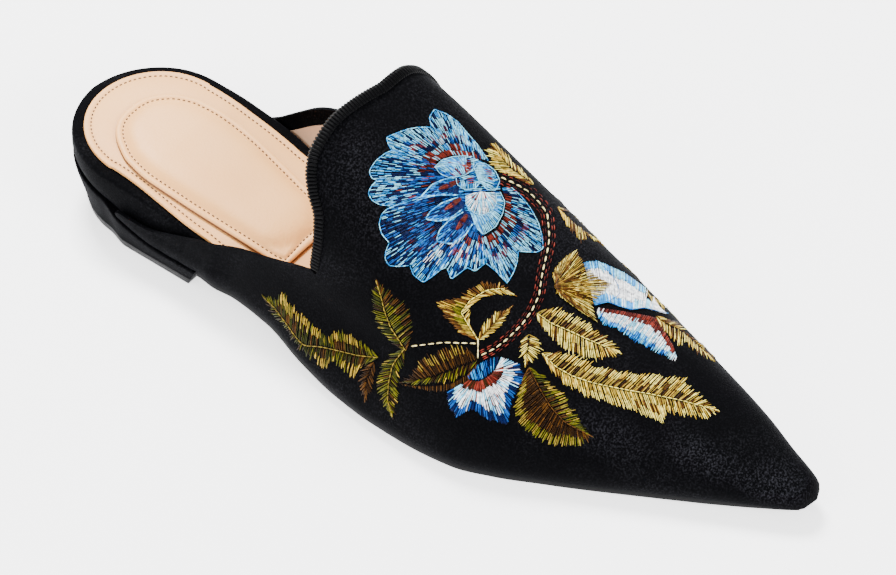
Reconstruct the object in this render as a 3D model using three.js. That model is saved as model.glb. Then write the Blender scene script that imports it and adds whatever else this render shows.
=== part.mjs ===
// A pointed, flat velvet mule for the right foot: babouche slipper with a tall rounded tongue.
// Millimetres. +Y runs to the toe, +X to the outer side of the foot, +Z up from the floor.
import * as THREE from "three";

// Driving sizes of the shoe.
const LENGTH = 273.4; // back of the heel rim to the toe tip
const BALL_WIDTH = 86; // across the upper at the ball of the foot
const HEEL_WIDTH = 57.9; // across the footbed's rim at the heel
const INSTEP_HEIGHT = 81; // tongue's ridge over the floor
const SEAT_HEIGHT = 29; // footbed's top at the heel, over the floor
const HEEL_HEIGHT = 20; // seam between heel block and footbed, at the back
const WALL = 2; // velvet and lining of the upper together
const GAP = 0.3; // clearance between pieces that meet
const LASTING_GAP = 0.8; // clearance between the footbed's side and the upper's lining
const EDGE_GAP = 0.75; // clearance between the binding and the velvet's cut edge
const SOLE_THICKNESS = 2.3; // rubber outsole
const SOLE_INSET = 1.6; // outsole's edge behind the upper's outline
const SOLE_BEVEL = 0.5; // bevel round the outsole's ground edge
const LIFT_THICKNESS = 3.4; // rubber lift under the heel
const INSOLE_THICKNESS = 1; // tan sock
const INSOLE_ROUND = 0.6; // rounding of the sock's cut edge
const RIM_WIDTH = 4; // velvet rim showing round the tan sock, at the heel
const RIM_WIDTH_OUTER = 1.5; // the same rim beside the outer quarter and under the vamp
const RIM_WIDTH_INNER = 5.2; // and beside the inner quarter
const RIM_ROUND = 1.2; // rounding of the footbed's top edge
const PAD_THICKNESS = 3.4; // heel cushion at its crown
const PAD_EDGE = 1.3; // the cushion's height just inside its edge
const BINDING_DEPTH = 3.5; // grosgrain from its fold to the velvet
const BINDING_PROUD = 0.5; // how far the grosgrain stands over each face of the wall
const FEATHER_TUCK = 1.2; // how far the upper turns in where it meets the sole
const FEATHER_ROUND = 5; // height of that turn
const LEAN_HEIGHT = 26; // height over which the side wall goes from sole outline to arch outline
const HEEL_REVEAL = 0.4; // how far the heel block stays behind the quarters' outside
const HEEL_SLOPE = 4.2; // how far the heel's back leans in, top to floor
const BREAST_TOP = 66.6; // heel's front face at its top, from the back of the shoe
const BREAST_FLOOR = 62.4; // the same face at the floor
const CAVITY_END = 261; // where the hollow of the toe stops, from the back of the shoe
const FOOTBED_END = 258.5; // front end of the footbed
const INSOLE_END = 250; // front end of the tan sock
const PAD_BACK = 17; // heel cushion's back end, from the back of the shoe
const PAD_FRONT = 93.4; // its straight front end

// A table of shares whose columns become smooth functions of the first column.
function table(columns, rows) {
  const at = rows.map((row) => row[0]);
  const read = {};
  columns.slice(1).forEach((name, index) => {
    read[name] = monotone(at, rows.map((row) => row[index + 1]));
  });
  return read;
}

// Cubic interpolation that never overshoots its points.
function monotone(xs, ys) {
  const last = xs.length - 1;
  const slope = xs.slice(1).map((x, i) => (ys[i + 1] - ys[i]) / (x - xs[i]));
  const tangent = ys.map((_, i) => {
    if (i === 0) return slope[0];
    if (i === last) return slope[last - 1];
    if (slope[i - 1] * slope[i] <= 0) return 0;
    return (2 * slope[i - 1] * slope[i]) / (slope[i - 1] + slope[i]);
  });
  return (x) => {
    if (x <= xs[0]) return ys[0];
    if (x >= xs[last]) return ys[last];
    const i = xs.findIndex((edge) => edge > x) - 1;
    const h = xs[i + 1] - xs[i];
    const t = (x - xs[i]) / h;
    return (
      ys[i] * (1 + 2 * t) * (1 - t) ** 2 +
      h * tangent[i] * t * (1 - t) ** 2 +
      ys[i + 1] * t * t * (3 - 2 * t) +
      h * tangent[i + 1] * t * t * (t - 1)
    );
  };
}

const smooth = (t) => {
  const s = Math.min(Math.max(t, 0), 1);
  return s * s * (3 - 2 * s);
};
const mix = (a, b, t) => a + (b - a) * t;

// Outline of the upper where it meets the sole. Widths are shares of the heel's outside width
// where ball is 0, and of the ball width where ball is 1. The outer side is positive.
const PLAN = table(
  ["at", "ball", "outer", "inner"],
  [
    [0.103, 0, 0.534, -0.466],
    [0.142, 0, 0.535, -0.473],
    [0.193, 0, 0.532, -0.452],
    [0.245, 0, 0.531, -0.408],
    [0.296, 1, 0.391, -0.263],
    [0.347, 1, 0.404, -0.25],
    [0.413, 1, 0.466, -0.279],
    [0.475, 1, 0.514, -0.343],
    [0.53, 1, 0.541, -0.395],
    [0.589, 1, 0.55, -0.44],
    [0.64, 1, 0.538, -0.449],
    [0.687, 1, 0.488, -0.436],
    [0.742, 1, 0.404, -0.398],
    [0.797, 1, 0.319, -0.352],
    [0.852, 1, 0.232, -0.302],
    [0.907, 1, 0.146, -0.242],
    [0.951, 1, 0.08, -0.184],
    [0.98, 1, 0.032, -0.15],
    [0.993, 1, 0.002, -0.129],
    [1, 1, -0.034, -0.104],
  ],
);

// Sections of the upper: where the arch stands widest and where its ridge runs, as shares of the
// ball width, the ridge's height as a share of the instep height, and how square each side is.
const ARCH = table(
  ["at", "outer", "inner", "ridge", "height", "squareOuter", "squareInner"],
  [
    [0.103, 0.387, -0.339, 0, 0.975, 3, 3],
    [0.175, 0.387, -0.35, -0.01, 0.975, 3, 3],
    [0.245, 0.383, -0.368, -0.04, 0.985, 3, 3],
    [0.347, 0.38, -0.415, -0.09, 1.01, 3.2, 3.1],
    [0.38, 0.38, -0.44, -0.11, 1, 3.3, 3.2],
    [0.413, 0.385, -0.455, -0.12, 0.945, 3.2, 3.3],
    [0.475, 0.41, -0.478, -0.13, 0.81, 2.9, 3.3],
    [0.53, 0.445, -0.487, -0.13, 0.69, 2.6, 3.3],
    [0.589, 0.5, -0.482, -0.13, 0.585, 2.3, 3.2],
    [0.64, 0.515, -0.468, -0.126, 0.508, 2.2, 3],
    [0.687, 0.48, -0.45, -0.12, 0.452, 2.1, 2.8],
    [0.742, 0.401, -0.413, -0.114, 0.397, 2, 2.6],
    [0.797, 0.317, -0.371, -0.105, 0.351, 2, 2.4],
    [0.852, 0.231, -0.32, -0.096, 0.303, 2, 2.3],
    [0.907, 0.146, -0.255, -0.085, 0.252, 2, 2.3],
    [0.951, 0.08, -0.19, -0.072, 0.204, 2, 2.2],
    [0.98, 0.032, -0.151, -0.066, 0.17, 2, 2.1],
    [0.993, 0.002, -0.13, -0.066, 0.146, 2, 2],
    [1, -0.034, -0.104, -0.068, 0.112, 2, 2],
  ],
);

// Levels along the shoe: the outsole's underside as a share of its height at the heel's breast,
// the footbed's top as a share of the seat height, and the heel block's seam, of the heel height.
const LEVEL = table(
  ["at", "under", "top", "seam"],
  [
    [0, 1, 1, 1],
    [0.05, 1, 0.983, 0.96],
    [0.103, 1, 0.941, 0.83],
    [0.142, 1, 0.9, 0.63],
    [0.165, 1, 0.865, 0.52],
    [0.193, 1, 0.82, 0.455],
    [0.244, 1, 0.72, 0.43],
    [0.296, 0.82, 0.62, 0.43],
    [0.347, 0.53, 0.51, 0.43],
    [0.413, 0.18, 0.375, 0.43],
    [0.475, 0, 0.29, 0.43],
    [0.53, 0, 0.255, 0.43],
    [0.74, 0, 0.245, 0.43],
    [0.83, 0.13, 0.25, 0.43],
    [0.92, 0.32, 0.262, 0.43],
    [1, 0.46, 0.28, 0.43],
  ],
);

// Edge of the upper: for each angle round the section, the place along the shoe where the wall
// starts. The throat corner is where the quarter's edge meets the tongue's binding.
const CORNER_OUTER = 24.4;
const CORNER_INNER = 26;
const TOPLINE_OUTER = table(
  ["angle", "at"],
  [
    [0, 0.1275],
    [2.2, 0.128],
    [3.4, 0.132],
    [4.6, 0.149],
    [5.8, 0.174],
    [7.8, 0.201],
    [11.2, 0.244],
    [13.2, 0.273],
    [16.4, 0.311],
    [18.4, 0.346],
    [22, 0.391],
    [CORNER_OUTER, 0.409],
    [31, 0.41],
    [37.5, 0.4055],
    [41.5, 0.392],
    [46, 0.3825],
    [52, 0.378],
    [61, 0.3785],
    [75, 0.384],
    [90, 0.391],
  ],
);
const TOPLINE_INNER = table(
  ["angle", "at"],
  [
    [0, 0.168],
    [5, 0.169],
    [7.5, 0.174],
    [11, 0.193],
    [16, 0.222],
    [20, 0.252],
    [22.5, 0.3],
    [24.5, 0.355],
    [CORNER_INNER, 0.4],
    [31, 0.405],
    [38, 0.404],
    [46, 0.399],
    [56, 0.393],
    [70, 0.391],
    [90, 0.391],
  ],
);

// Lines along the upper, as angles from the sole's edge up to the ridge.
const NOTCH = 0.4; // the line that starts the tongue, over the throat corner's own line
const LINES = [
  ...[0, 1.1, 2.2, 3.4, 4.6, 5.8, 7.2, 9, 11.2, 13.2, 16.4, 18.4, 20.5, 22.6],
  ...[CORNER_OUTER, CORNER_OUTER + NOTCH, CORNER_INNER, CORNER_INNER + NOTCH],
  ...[29, 33, 37.5, 41.5, 46, 51, 56, 61, 66, 71, 76, 81, 86],
];
const ROWS = 27; // sections from the edge to the toe
const BINDING_STATIONS = 27; // sections of the grosgrain on each side of the ridge

const TUCK_SHARE = 0.125; // most that the turn at the sole takes of the half width, at the toe

const heelOutside = HEEL_WIDTH + 2 * (WALL + LASTING_GAP);
const share = (y) => y / LENGTH;
const heelRadius = HEEL_WIDTH / 2;

// x of the upper's outline at y. side is "outer" or "inner".
function planX(side, y) {
  const at = share(y);
  return PLAN[side](at) * mix(heelOutside, BALL_WIDTH, PLAN.ball(at));
}

const sign = (side) => (side === "outer" ? 1 : -1);
const seamZ = (y) => LEVEL.seam(share(y)) * HEEL_HEIGHT;
const underZ = (y) => LEVEL.under(share(y)) * (seamZ(BREAST_TOP) - SOLE_THICKNESS);
const topZ = (y) => LEVEL.top(share(y)) * SEAT_HEIGHT;

// Height of the upper's lower edge: on the heel's seam behind the breast, on the outsole before it.
function featherZ(y) {
  return GAP + (y < BREAST_TOP ? seamZ(y) : underZ(y) + SOLE_THICKNESS);
}

// x of the upper's outside at y, so far above its lower edge. side is "outer" or "inner".
function sideX(side, y, rise) {
  const at = share(y);
  const square = side === "outer" ? ARCH.squareOuter(at) : ARCH.squareInner(at);
  const full = ARCH.height(at) * INSTEP_HEIGHT - featherZ(y);
  const ridge = ARCH.ridge(at) * BALL_WIDTH;
  const atSole = Math.abs(planX(side, y) - ridge);
  const atArch = Math.abs(ARCH[side](at) * BALL_WIDTH - ridge);
  const half = mix(atSole, atArch, smooth(rise / LEAN_HEIGHT));
  const bend = (1 - Math.min(rise / full, 1) ** square) ** (1 / square);
  const tuck = Math.min(FEATHER_TUCK, atSole * TUCK_SHARE) * Math.max(0, 1 - rise / FEATHER_ROUND) ** 2;
  return ridge + sign(side) * (half * bend - tuck);
}

// How much wider a wall reads across the shoe where the outline runs at a slant.
function slant(side, y) {
  const run = Math.min(y + 1, LENGTH) - (y - 1);
  return Math.hypot(1, (planX(side, Math.min(y + 1, LENGTH)) - planX(side, y - 1)) / run);
}

// x of the footbed's edge at y, so far above its underside: a half circle at the heel, and inside
// the upper's wall before it.
function footbedX(side, y, rise) {
  const place = Math.max(y, heelRadius);
  const edge = sideX(side, place, rise) - sign(side) * (WALL + LASTING_GAP) * slant(side, place);
  if (y >= heelRadius) return edge;
  return edge - sign(side) * (heelRadius - Math.sqrt(heelRadius ** 2 - (heelRadius - y) ** 2));
}

// Outside of the upper: a point at y on the line that stands at this angle, from 0 at the outer
// side of the sole over 90 at the ridge to 180 at the inner side.
function skin(y, angle) {
  const side = angle <= 90 ? "outer" : "inner";
  const turn = THREE.MathUtils.degToRad(angle <= 90 ? angle : 180 - angle);
  const at = share(y);
  const square = side === "outer" ? ARCH.squareOuter(at) : ARCH.squareInner(at);
  const reach = (Math.cos(turn) ** square + Math.sin(turn) ** square) ** (-1 / square);
  const rise = (ARCH.height(at) * INSTEP_HEIGHT - featherZ(y)) * reach * Math.sin(turn);
  return new THREE.Vector3(sideX(side, y, rise), y, featherZ(y) + rise);
}

const STEP = 0.05; // step of the slopes, in millimetres and degrees

function slopeY(y, angle) {
  const span = Math.min(STEP, LENGTH - y + STEP);
  return skin(y + span, angle).sub(skin(y - STEP, angle)).divideScalar(span + STEP);
}

function normal(y, angle) {
  const low = Math.max(angle - STEP, 0);
  const high = Math.min(angle + STEP, 180);
  const round = skin(y, high).sub(skin(y, low));
  return round.cross(slopeY(y, angle)).normalize().negate();
}

// Inside of the upper: the wall's thickness in from the outside, level with it at the sole.
function lining(y, angle) {
  const point = skin(y, angle);
  if (angle > 0 && angle < 180) return point.addScaledVector(normal(y, angle), -WALL);
  return point.setX(point.x - Math.sign(90 - angle) * WALL);
}

function toplineY(angle) {
  const at = angle <= 90 ? TOPLINE_OUTER.at(angle) : TOPLINE_INNER.at(180 - angle);
  return at * LENGTH;
}

const tongueStart = CORNER_OUTER;
const tongueEnd = 180 - CORNER_INNER;
const onTongue = (angle) => angle > tongueStart + 0.1 && angle < tongueEnd - 0.1;
const edgePoint = (angle) => skin(toplineY(angle), angle);

// Frame on the tongue's finished edge: the point, the direction into the velvet and the normal.
function edgeFrame(angle) {
  const before = Math.max(angle - 1, tongueStart + 0.1);
  const after = Math.min(angle + 1, tongueEnd - 0.1);
  const along = edgePoint(after).sub(edgePoint(before)).normalize();
  const out = normal(toplineY(angle), angle);
  const into = new THREE.Vector3().crossVectors(out, along).normalize();
  if (into.y < 0) into.negate();
  return { point: edgePoint(angle), into, out };
}

const tongueEdge = [];
for (let angle = tongueStart; angle <= tongueEnd; angle += 0.5) tongueEdge.push(edgePoint(angle));

// Where the velvet wall itself starts: at the edge, or on the tongue as far behind the edge as the
// binding is deep.
function wallY(angle) {
  if (!onTongue(angle)) return toplineY(angle);
  let near = toplineY(angle);
  let far = near + 3 * BINDING_DEPTH;
  for (let i = 0; i < 20; i++) {
    const y = (near + far) / 2;
    const point = skin(y, angle);
    const distance = Math.min(...tongueEdge.map((edge) => edge.distanceTo(point)));
    if (distance < BINDING_DEPTH + EDGE_GAP) near = y;
    else far = y;
  }
  return far;
}

// A closed mesh from points and triangles, its faces turned outwards.
function closedMesh(name, points, triangles, material) {
  let volume = 0;
  const cross = new THREE.Vector3();
  for (const [a, b, c] of triangles) volume += points[a].dot(cross.crossVectors(points[b], points[c]));
  const index = triangles.flatMap(([a, b, c]) => (volume > 0 ? [a, b, c] : [a, c, b]));
  const geometry = new THREE.BufferGeometry().setFromPoints(points).setIndex(index);
  geometry.computeVertexNormals();
  const mesh = new THREE.Mesh(geometry, new THREE.MeshStandardMaterial(material));
  mesh.name = name;
  return mesh;
}

// A solid skinned over closed rings of as many points each, with a fan at both ends.
function loft(name, rings, material) {
  const count = rings[0].length;
  const points = rings.flat();
  const triangles = [];
  for (let i = 0; i + 1 < rings.length; i++) {
    for (let j = 0; j < count; j++) {
      const a = i * count + j;
      const b = i * count + ((j + 1) % count);
      triangles.push([a, b, b + count], [a, b + count, a + count]);
    }
  }
  for (const end of [0, rings.length - 1]) {
    const middle = rings[end].reduce((sum, p) => sum.add(p), new THREE.Vector3()).divideScalar(count);
    const hub = points.push(middle) - 1;
    for (let j = 0; j < count; j++) {
      const a = end * count + j;
      const b = end * count + ((j + 1) % count);
      triangles.push(end ? [a, b, hub] : [b, a, hub]);
    }
  }
  return closedMesh(name, points, triangles, material);
}

const MATERIALS = {
  velvet: { color: 0x0b0b0f, roughness: 0.95, metalness: 0 },
  grosgrain: { color: 0x15151a, roughness: 0.8, metalness: 0 },
  tanLeather: { color: 0xe2bd97, roughness: 0.6, metalness: 0 },
  rubber: { color: 0x1a1a1c, roughness: 0.7, metalness: 0 },
};

// Upper: outer and inner faces on one grid of lines, joined along the edge, the sole and the toe.
function makeUpper() {
  const angles = [...LINES, 90, ...LINES.map((angle) => 180 - angle).reverse()];
  const columns = angles.length;
  const points = [];
  for (const [face, end] of [[skin, LENGTH], [lining, CAVITY_END]]) {
    for (let i = 0; i <= ROWS; i++) {
      for (const angle of angles) points.push(face(mix(wallY(angle), end, i / ROWS), angle));
    }
  }
  const last = columns - 1;
  const outer = (i, j) => i * columns + j;
  const inner = (i, j) => (ROWS + 1 + i) * columns + j;
  const triangles = [];
  const quad = (a, b, c, d) => triangles.push([a, b, c], [a, c, d]);
  for (let i = 0; i < ROWS; i++) {
    for (let j = 0; j + 1 < columns; j++) {
      quad(outer(i, j), outer(i, j + 1), outer(i + 1, j + 1), outer(i + 1, j));
      quad(inner(i, j), inner(i + 1, j), inner(i + 1, j + 1), inner(i, j + 1));
    }
    quad(outer(i, 0), outer(i + 1, 0), inner(i + 1, 0), inner(i, 0));
    quad(outer(i + 1, last), outer(i, last), inner(i, last), inner(i + 1, last));
  }
  for (let j = 0; j + 1 < columns; j++) quad(outer(0, j + 1), outer(0, j), inner(0, j), inner(0, j + 1));
  quad(outer(ROWS, 0), outer(ROWS, last), inner(ROWS, last), inner(ROWS, 0));
  for (const [line, flip] of [[outer, false], [inner, true]]) {
    const middle = points[line(ROWS, 0)].clone().add(points[line(ROWS, last)]).multiplyScalar(0.5);
    middle.z = mix(middle.z, points[line(ROWS, (last / 2) | 0)].z, 0.5);
    const hub = points.push(middle) - 1;
    for (let j = 0; j < columns; j++) {
      const a = line(ROWS, j);
      const b = line(ROWS, (j + 1) % columns);
      triangles.push(flip ? [b, a, hub] : [a, b, hub]);
    }
  }
  return closedMesh("upper", points, triangles, MATERIALS.velvet);
}

// Section of the binding: shares of its depth in from the fold, and of its thickness from the inner
// face up to the outer one.
const BINDING_SECTION = [
  [1, 0.933],
  [0.7, 1],
  [0.3, 1],
  [0.03, 0.85],
  [0, 0.5],
  [0.03, 0.15],
  [0.3, 0],
  [0.7, 0],
  [1, 0.067],
];
const BINDING_CLEAR = 0.7; // angle left free at the throat corners

// Grosgrain binding: a rounded band swept round the tongue's edge, over both faces of the wall.
function makeBinding() {
  const first = tongueStart + BINDING_CLEAR;
  const last = tongueEnd - BINDING_CLEAR;
  const low = -WALL - BINDING_PROUD;
  const section = BINDING_SECTION.map(([a, b]) => [a * BINDING_DEPTH, mix(low, BINDING_PROUD, b)]);
  const rings = [];
  for (let i = 0; i <= 2 * BINDING_STATIONS; i++) {
    const { point, into, out } = edgeFrame(mix(first, last, i / (2 * BINDING_STATIONS)));
    rings.push(section.map(([a, b]) => point.clone().addScaledVector(into, a).addScaledVector(out, b)));
  }
  return loft("throat_binding", rings, MATERIALS.grosgrain);
}

const FIRST_TURN = 0.1; // radians from the heel's backmost point to the first section

// Places along a piece that starts with the heel's half circle: closer together at its back end.
function heelStations(end, roundSteps, straightSteps) {
  const places = [];
  for (let i = 0; i < roundSteps; i++) {
    const turn = mix(FIRST_TURN, Math.PI / 2, i / roundSteps);
    places.push(heelRadius * (1 - Math.cos(turn)));
  }
  for (let i = 0; i <= straightSteps; i++) places.push(mix(heelRadius, end, i / straightSteps));
  return places;
}

// Side of the footbed: shares of its height up to the rounded rim, and one step of that rounding.
const FOOTBED_SIDE = [0, 0.22, 0.5];
const RIM_STEP = 0.3;

// Footbed: a shaped board wrapped in velvet, its underside on the heel block and the outsole.
function makeFootbed() {
  const rings = heelStations(FOOTBED_END, 12, 30).map((y) => {
    const low = featherZ(y);
    const high = topZ(y) - low;
    const round = Math.min(RIM_ROUND, (footbedX("outer", y, high) - footbedX("inner", y, high)) / 4);
    const edge = (side) =>
      [
        ...FOOTBED_SIDE.map((up) => [0, up * high]),
        [0, high - round],
        [RIM_STEP * round, high - RIM_STEP * round],
        [round, high],
      ].map(([inset, rise]) => {
        const x = footbedX(side, y, rise) - sign(side) * inset;
        return new THREE.Vector3(x, y, low + rise);
      });
    return [...edge("outer"), ...edge("inner").reverse()];
  });
  return loft("footbed", rings, MATERIALS.velvet);
}

const RIM_RUN = 1.2; // heel radii over which the rim goes from its heel width to its waist width

// Width of the velvet rim that the tan sock leaves free.
function rimWidth(side, y) {
  const waist = side === "outer" ? RIM_WIDTH_OUTER : RIM_WIDTH_INNER;
  return mix(RIM_WIDTH, waist, smooth((y - heelRadius) / (RIM_RUN * heelRadius)));
}

// x of the tan sock's edge: a half circle inside the rim at the heel, then parallel to the footbed.
function insoleX(side, y) {
  const place = Math.max(y, heelRadius);
  const rise = topZ(place) + INSOLE_THICKNESS + GAP - featherZ(place);
  const edge = footbedX(side, place, rise) - sign(side) * rimWidth(side, y);
  if (y >= heelRadius) return edge;
  const radius = heelRadius - RIM_WIDTH;
  const centre = edge - sign(side) * radius;
  return centre + sign(side) * Math.sqrt(Math.max(0, radius ** 2 - (heelRadius - y) ** 2));
}

// Tan sock: a thin leather sheet that follows the footbed's top.
function makeInsole() {
  const radius = heelRadius - RIM_WIDTH;
  const places = heelStations(INSOLE_END, 10, 26).map((y) =>
    y < heelRadius ? heelRadius - ((heelRadius - y) * radius) / heelRadius : y,
  );
  const rings = places.map((y) => {
    const low = topZ(y) + GAP;
    const outer = insoleX("outer", y);
    const inner = insoleX("inner", y);
    const high = low + INSOLE_THICKNESS;
    return [
      [outer, low],
      [outer, high - INSOLE_ROUND / 2],
      [outer - INSOLE_ROUND, high],
      [inner + INSOLE_ROUND, high],
      [inner, high - INSOLE_ROUND / 2],
      [inner, low],
    ].map(([x, z]) => new THREE.Vector3(x, y, z));
  });
  return loft("insole", rings, MATERIALS.tanLeather);
}

// Heel cushion's outline, as shares of the heel's width: wide at the seat, narrow at the arch.
const PAD = table(
  ["along", "outer", "inner"],
  [
    [0, 0.116, 0.02],
    [0.012, 0.184, -0.049],
    [0.05, 0.267, -0.131],
    [0.11, 0.335, -0.199],
    [0.2, 0.398, -0.243],
    [0.33, 0.427, -0.257],
    [0.5, 0.422, -0.238],
    [0.65, 0.408, -0.204],
    [0.8, 0.393, -0.165],
    [0.96, 0.374, -0.126],
    [1, 0.349, -0.107],
  ],
);
// Sections of the cushion: shares along it and across it.
const PAD_HALF = [0, 0.03, 0.1, 0.22, 0.36, 0.5];
const PAD_ACROSS = [...PAD_HALF, ...PAD_HALF.slice(0, -1).map((t) => 1 - t).reverse()];
const PAD_BACK_STEPS = [0, 0.012, 0.03, 0.06, 0.11, 0.18, 0.26];
const PAD_ALONG = [...PAD_BACK_STEPS, 0.35, 0.45, 0.55, 0.65, 0.75, 0.85, 0.93, 0.975, 1];
const PAD_SLOPE_END = 0.12; // share of its length over which it rises to its crown
const PAD_SLOPE_SIDE = 0.28; // the same, of its width
const PAD_LIP = 0.06; // share of its width over which the thin edge reaches its height
const PAD_LIP_START = 0.35; // where on that rise the cut edge starts

// Raised cushion of padded leather on the sock, crowned in the middle and thin at its stitched edge.
function makePad() {
  const rings = PAD_ALONG.map((along) => {
    const y = mix(PAD_BACK, PAD_FRONT, along);
    const outer = PAD.outer(along) * HEEL_WIDTH;
    const inner = PAD.inner(along) * HEEL_WIDTH;
    const low = topZ(y) + 2 * GAP + INSOLE_THICKNESS;
    const end = smooth(Math.min(along, 1 - along) / PAD_SLOPE_END);
    const top = PAD_ACROSS.map((t) => {
      const inset = Math.min(t, 1 - t);
      const side = smooth(inset / PAD_SLOPE_SIDE);
      const edge = PAD_EDGE * smooth(inset / PAD_LIP + PAD_LIP_START);
      const crown = (PAD_THICKNESS - PAD_EDGE) * side * end;
      return new THREE.Vector3(mix(outer, inner, t), y, low + edge + crown);
    });
    const under = [inner, outer].map((x) => new THREE.Vector3(x, y, low));
    return [...top, ...under];
  });
  return loft("heel_pad", rings, MATERIALS.tanLeather);
}

const SOLE_STEPS = 34; // sections of the outsole
const SOLE_TIP = 0.4; // most that the inset and the bevel take of its half width, at the tip
const SOLE_TIP_BEVEL = 0.2;

// Outsole: thin rubber from the heel's breast to the toe, flat at the ball, with toe spring.
function makeOutsole() {
  const start = BREAST_TOP + GAP;
  const end = LENGTH - SOLE_INSET;
  const rings = [];
  for (let i = 0; i <= SOLE_STEPS; i++) {
    const y = mix(start, end, i / SOLE_STEPS);
    const half = (planX("outer", y) - planX("inner", y)) / 2;
    const inset = Math.min(SOLE_INSET, half * SOLE_TIP);
    const outer = planX("outer", y) - inset;
    const inner = planX("inner", y) + inset;
    const low = underZ(y);
    const high = low + SOLE_THICKNESS;
    const bevel = Math.min(SOLE_BEVEL, half * SOLE_TIP_BEVEL);
    rings.push(
      [
        [outer - bevel, low],
        [outer, low + SOLE_BEVEL],
        [outer, high],
        [inner, high],
        [inner, low + SOLE_BEVEL],
        [inner + bevel, low],
      ].map(([x, z]) => new THREE.Vector3(x, y, z)),
    );
  }
  return loft("outsole", rings, MATERIALS.rubber);
}

const WRAP_START = 0.9; // heel radii from the back to where the quarters begin to wrap the footbed
const WRAP_RUN = 0.35; // heel radii over which they come to their full width

// x of the heel block's top edge: flush with the footbed's rim at the back, then with the quarters.
function heelTopX(side, y) {
  const wrap = smooth((y - WRAP_START * heelRadius) / (WRAP_RUN * heelRadius));
  return footbedX(side, y, FEATHER_ROUND) + sign(side) * wrap * (WALL + LASTING_GAP - HEEL_REVEAL);
}

const HEEL_BOW = 0.5; // 0 for a straight side from the seam to the floor, 1 for a bowed one
const HEEL_DOWNS = [0, 0.06, 0.3, 0.65, 1]; // levels of the block, as shares of its height
const HEEL_TAPER_BACK = 0.855; // width of the heel at the floor over its width at the top, at the back
const HEEL_TAPER_BREAST = 0.94; // the same at the breast

// A point of the heel's side at a share of the way down from the seam to the floor.
function heelSide(side, y, down) {
  const along = y / BREAST_TOP;
  const middle = (heelTopX("outer", y) + heelTopX("inner", y)) / 2;
  const taper = mix(1, mix(HEEL_TAPER_BACK, HEEL_TAPER_BREAST, along), down);
  const x = middle + (heelTopX(side, y) - middle) * taper;
  const yDown = mix(y, mix(HEEL_SLOPE, BREAST_FLOOR, along), down);
  return new THREE.Vector3(x, yDown, 0);
}

function heelPlaces() {
  return heelStations(BREAST_TOP, 12, 8);
}

// Heel block: a low block wrapped in velvet, leaning in towards the floor.
function makeHeel() {
  const floor = LIFT_THICKNESS + GAP;
  const rings = heelPlaces().map((y) => {
    const seam = seamZ(y);
    const bow = (down) => mix(down, smooth(down), HEEL_BOW);
    const point = (side) => (down) => {
      const p = heelSide(side, y, (bow(down) * (seam - floor)) / seam);
      return p.setZ(mix(seam, floor, down));
    };
    return [...HEEL_DOWNS.map(point("outer")), ...HEEL_DOWNS.map(point("inner")).reverse()];
  });
  return loft("heel_block", rings, MATERIALS.velvet);
}

// Top lift: a rubber slab under the heel block, with its outline.
function makeLift() {
  const rings = heelPlaces().map((y) => {
    const point = (side, z) => heelSide(side, y, 1 - z / seamZ(y)).setZ(z);
    return [
      point("outer", 0),
      point("outer", LIFT_THICKNESS),
      point("inner", LIFT_THICKNESS),
      point("inner", 0),
    ];
  });
  return loft("top_lift", rings, MATERIALS.rubber);
}

// The shoe stands with the middle of its outline over the origin.
const shoe = new THREE.Group();
shoe.add(
  makeUpper(),
  makeBinding(),
  makeFootbed(),
  makeInsole(),
  makePad(),
  makeOutsole(),
  makeHeel(),
  makeLift(),
);
const bounds = new THREE.Box3().setFromObject(shoe);
const centre = bounds.getCenter(new THREE.Vector3());
shoe.position.set(-centre.x, -centre.y, -bounds.min.z);

const babouche = new THREE.Group();
babouche.add(shoe);
export default babouche;
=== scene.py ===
import math
import random

import bmesh
import bpy
import numpy as np
from mathutils import Matrix, Vector
from mathutils.bvhtree import BVHTree


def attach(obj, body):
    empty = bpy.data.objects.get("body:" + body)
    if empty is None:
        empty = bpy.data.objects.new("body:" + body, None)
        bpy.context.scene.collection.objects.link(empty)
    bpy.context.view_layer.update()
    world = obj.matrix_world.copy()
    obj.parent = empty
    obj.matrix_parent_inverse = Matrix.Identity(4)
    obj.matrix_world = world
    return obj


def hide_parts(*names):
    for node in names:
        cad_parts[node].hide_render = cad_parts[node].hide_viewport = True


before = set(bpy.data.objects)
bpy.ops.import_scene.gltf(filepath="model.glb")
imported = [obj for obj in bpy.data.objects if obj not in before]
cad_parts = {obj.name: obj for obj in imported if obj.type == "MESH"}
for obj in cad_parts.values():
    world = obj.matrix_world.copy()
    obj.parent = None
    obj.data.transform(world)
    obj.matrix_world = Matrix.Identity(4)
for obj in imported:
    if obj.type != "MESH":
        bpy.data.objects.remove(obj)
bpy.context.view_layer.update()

# Last: the foot-shaped form that the upper is pulled over, and that the sole, the heel and the
# footbed are cut to. Its sizes are in metres, and its tables give outline and sections as shares
# of them. y runs from the heel's back edge to the toe, x to the outer side and z up.
LENGTH = 0.2734
BALL_WIDTH = 0.086
HEEL_WIDTH = 0.0579
INSTEP_HEIGHT = 0.081
SEAT_HEIGHT = 0.029
HEEL_HEIGHT = 0.020
WALL = 0.002
GAP = 0.0003
LASTING_GAP = 0.0008
SOLE_THICKNESS = 0.0023
FEATHER_TUCK = 0.0012
FEATHER_ROUND = 0.005
LEAN_HEIGHT = 0.026
BREAST_TOP = 0.0666
HEEL_BACK = np.array([-0.002904, -0.13677, 0.0])
HEEL_RADIUS = HEEL_WIDTH / 2
HEEL_OUTSIDE = HEEL_WIDTH + 2 * (WALL + LASTING_GAP)
SIGN = {"outer": 1, "inner": -1}


def smooth(t):
    t = np.clip(t, 0, 1)
    return t * t * (3 - 2 * t)


def mix(a, b, t):
    return a + (b - a) * t


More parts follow.
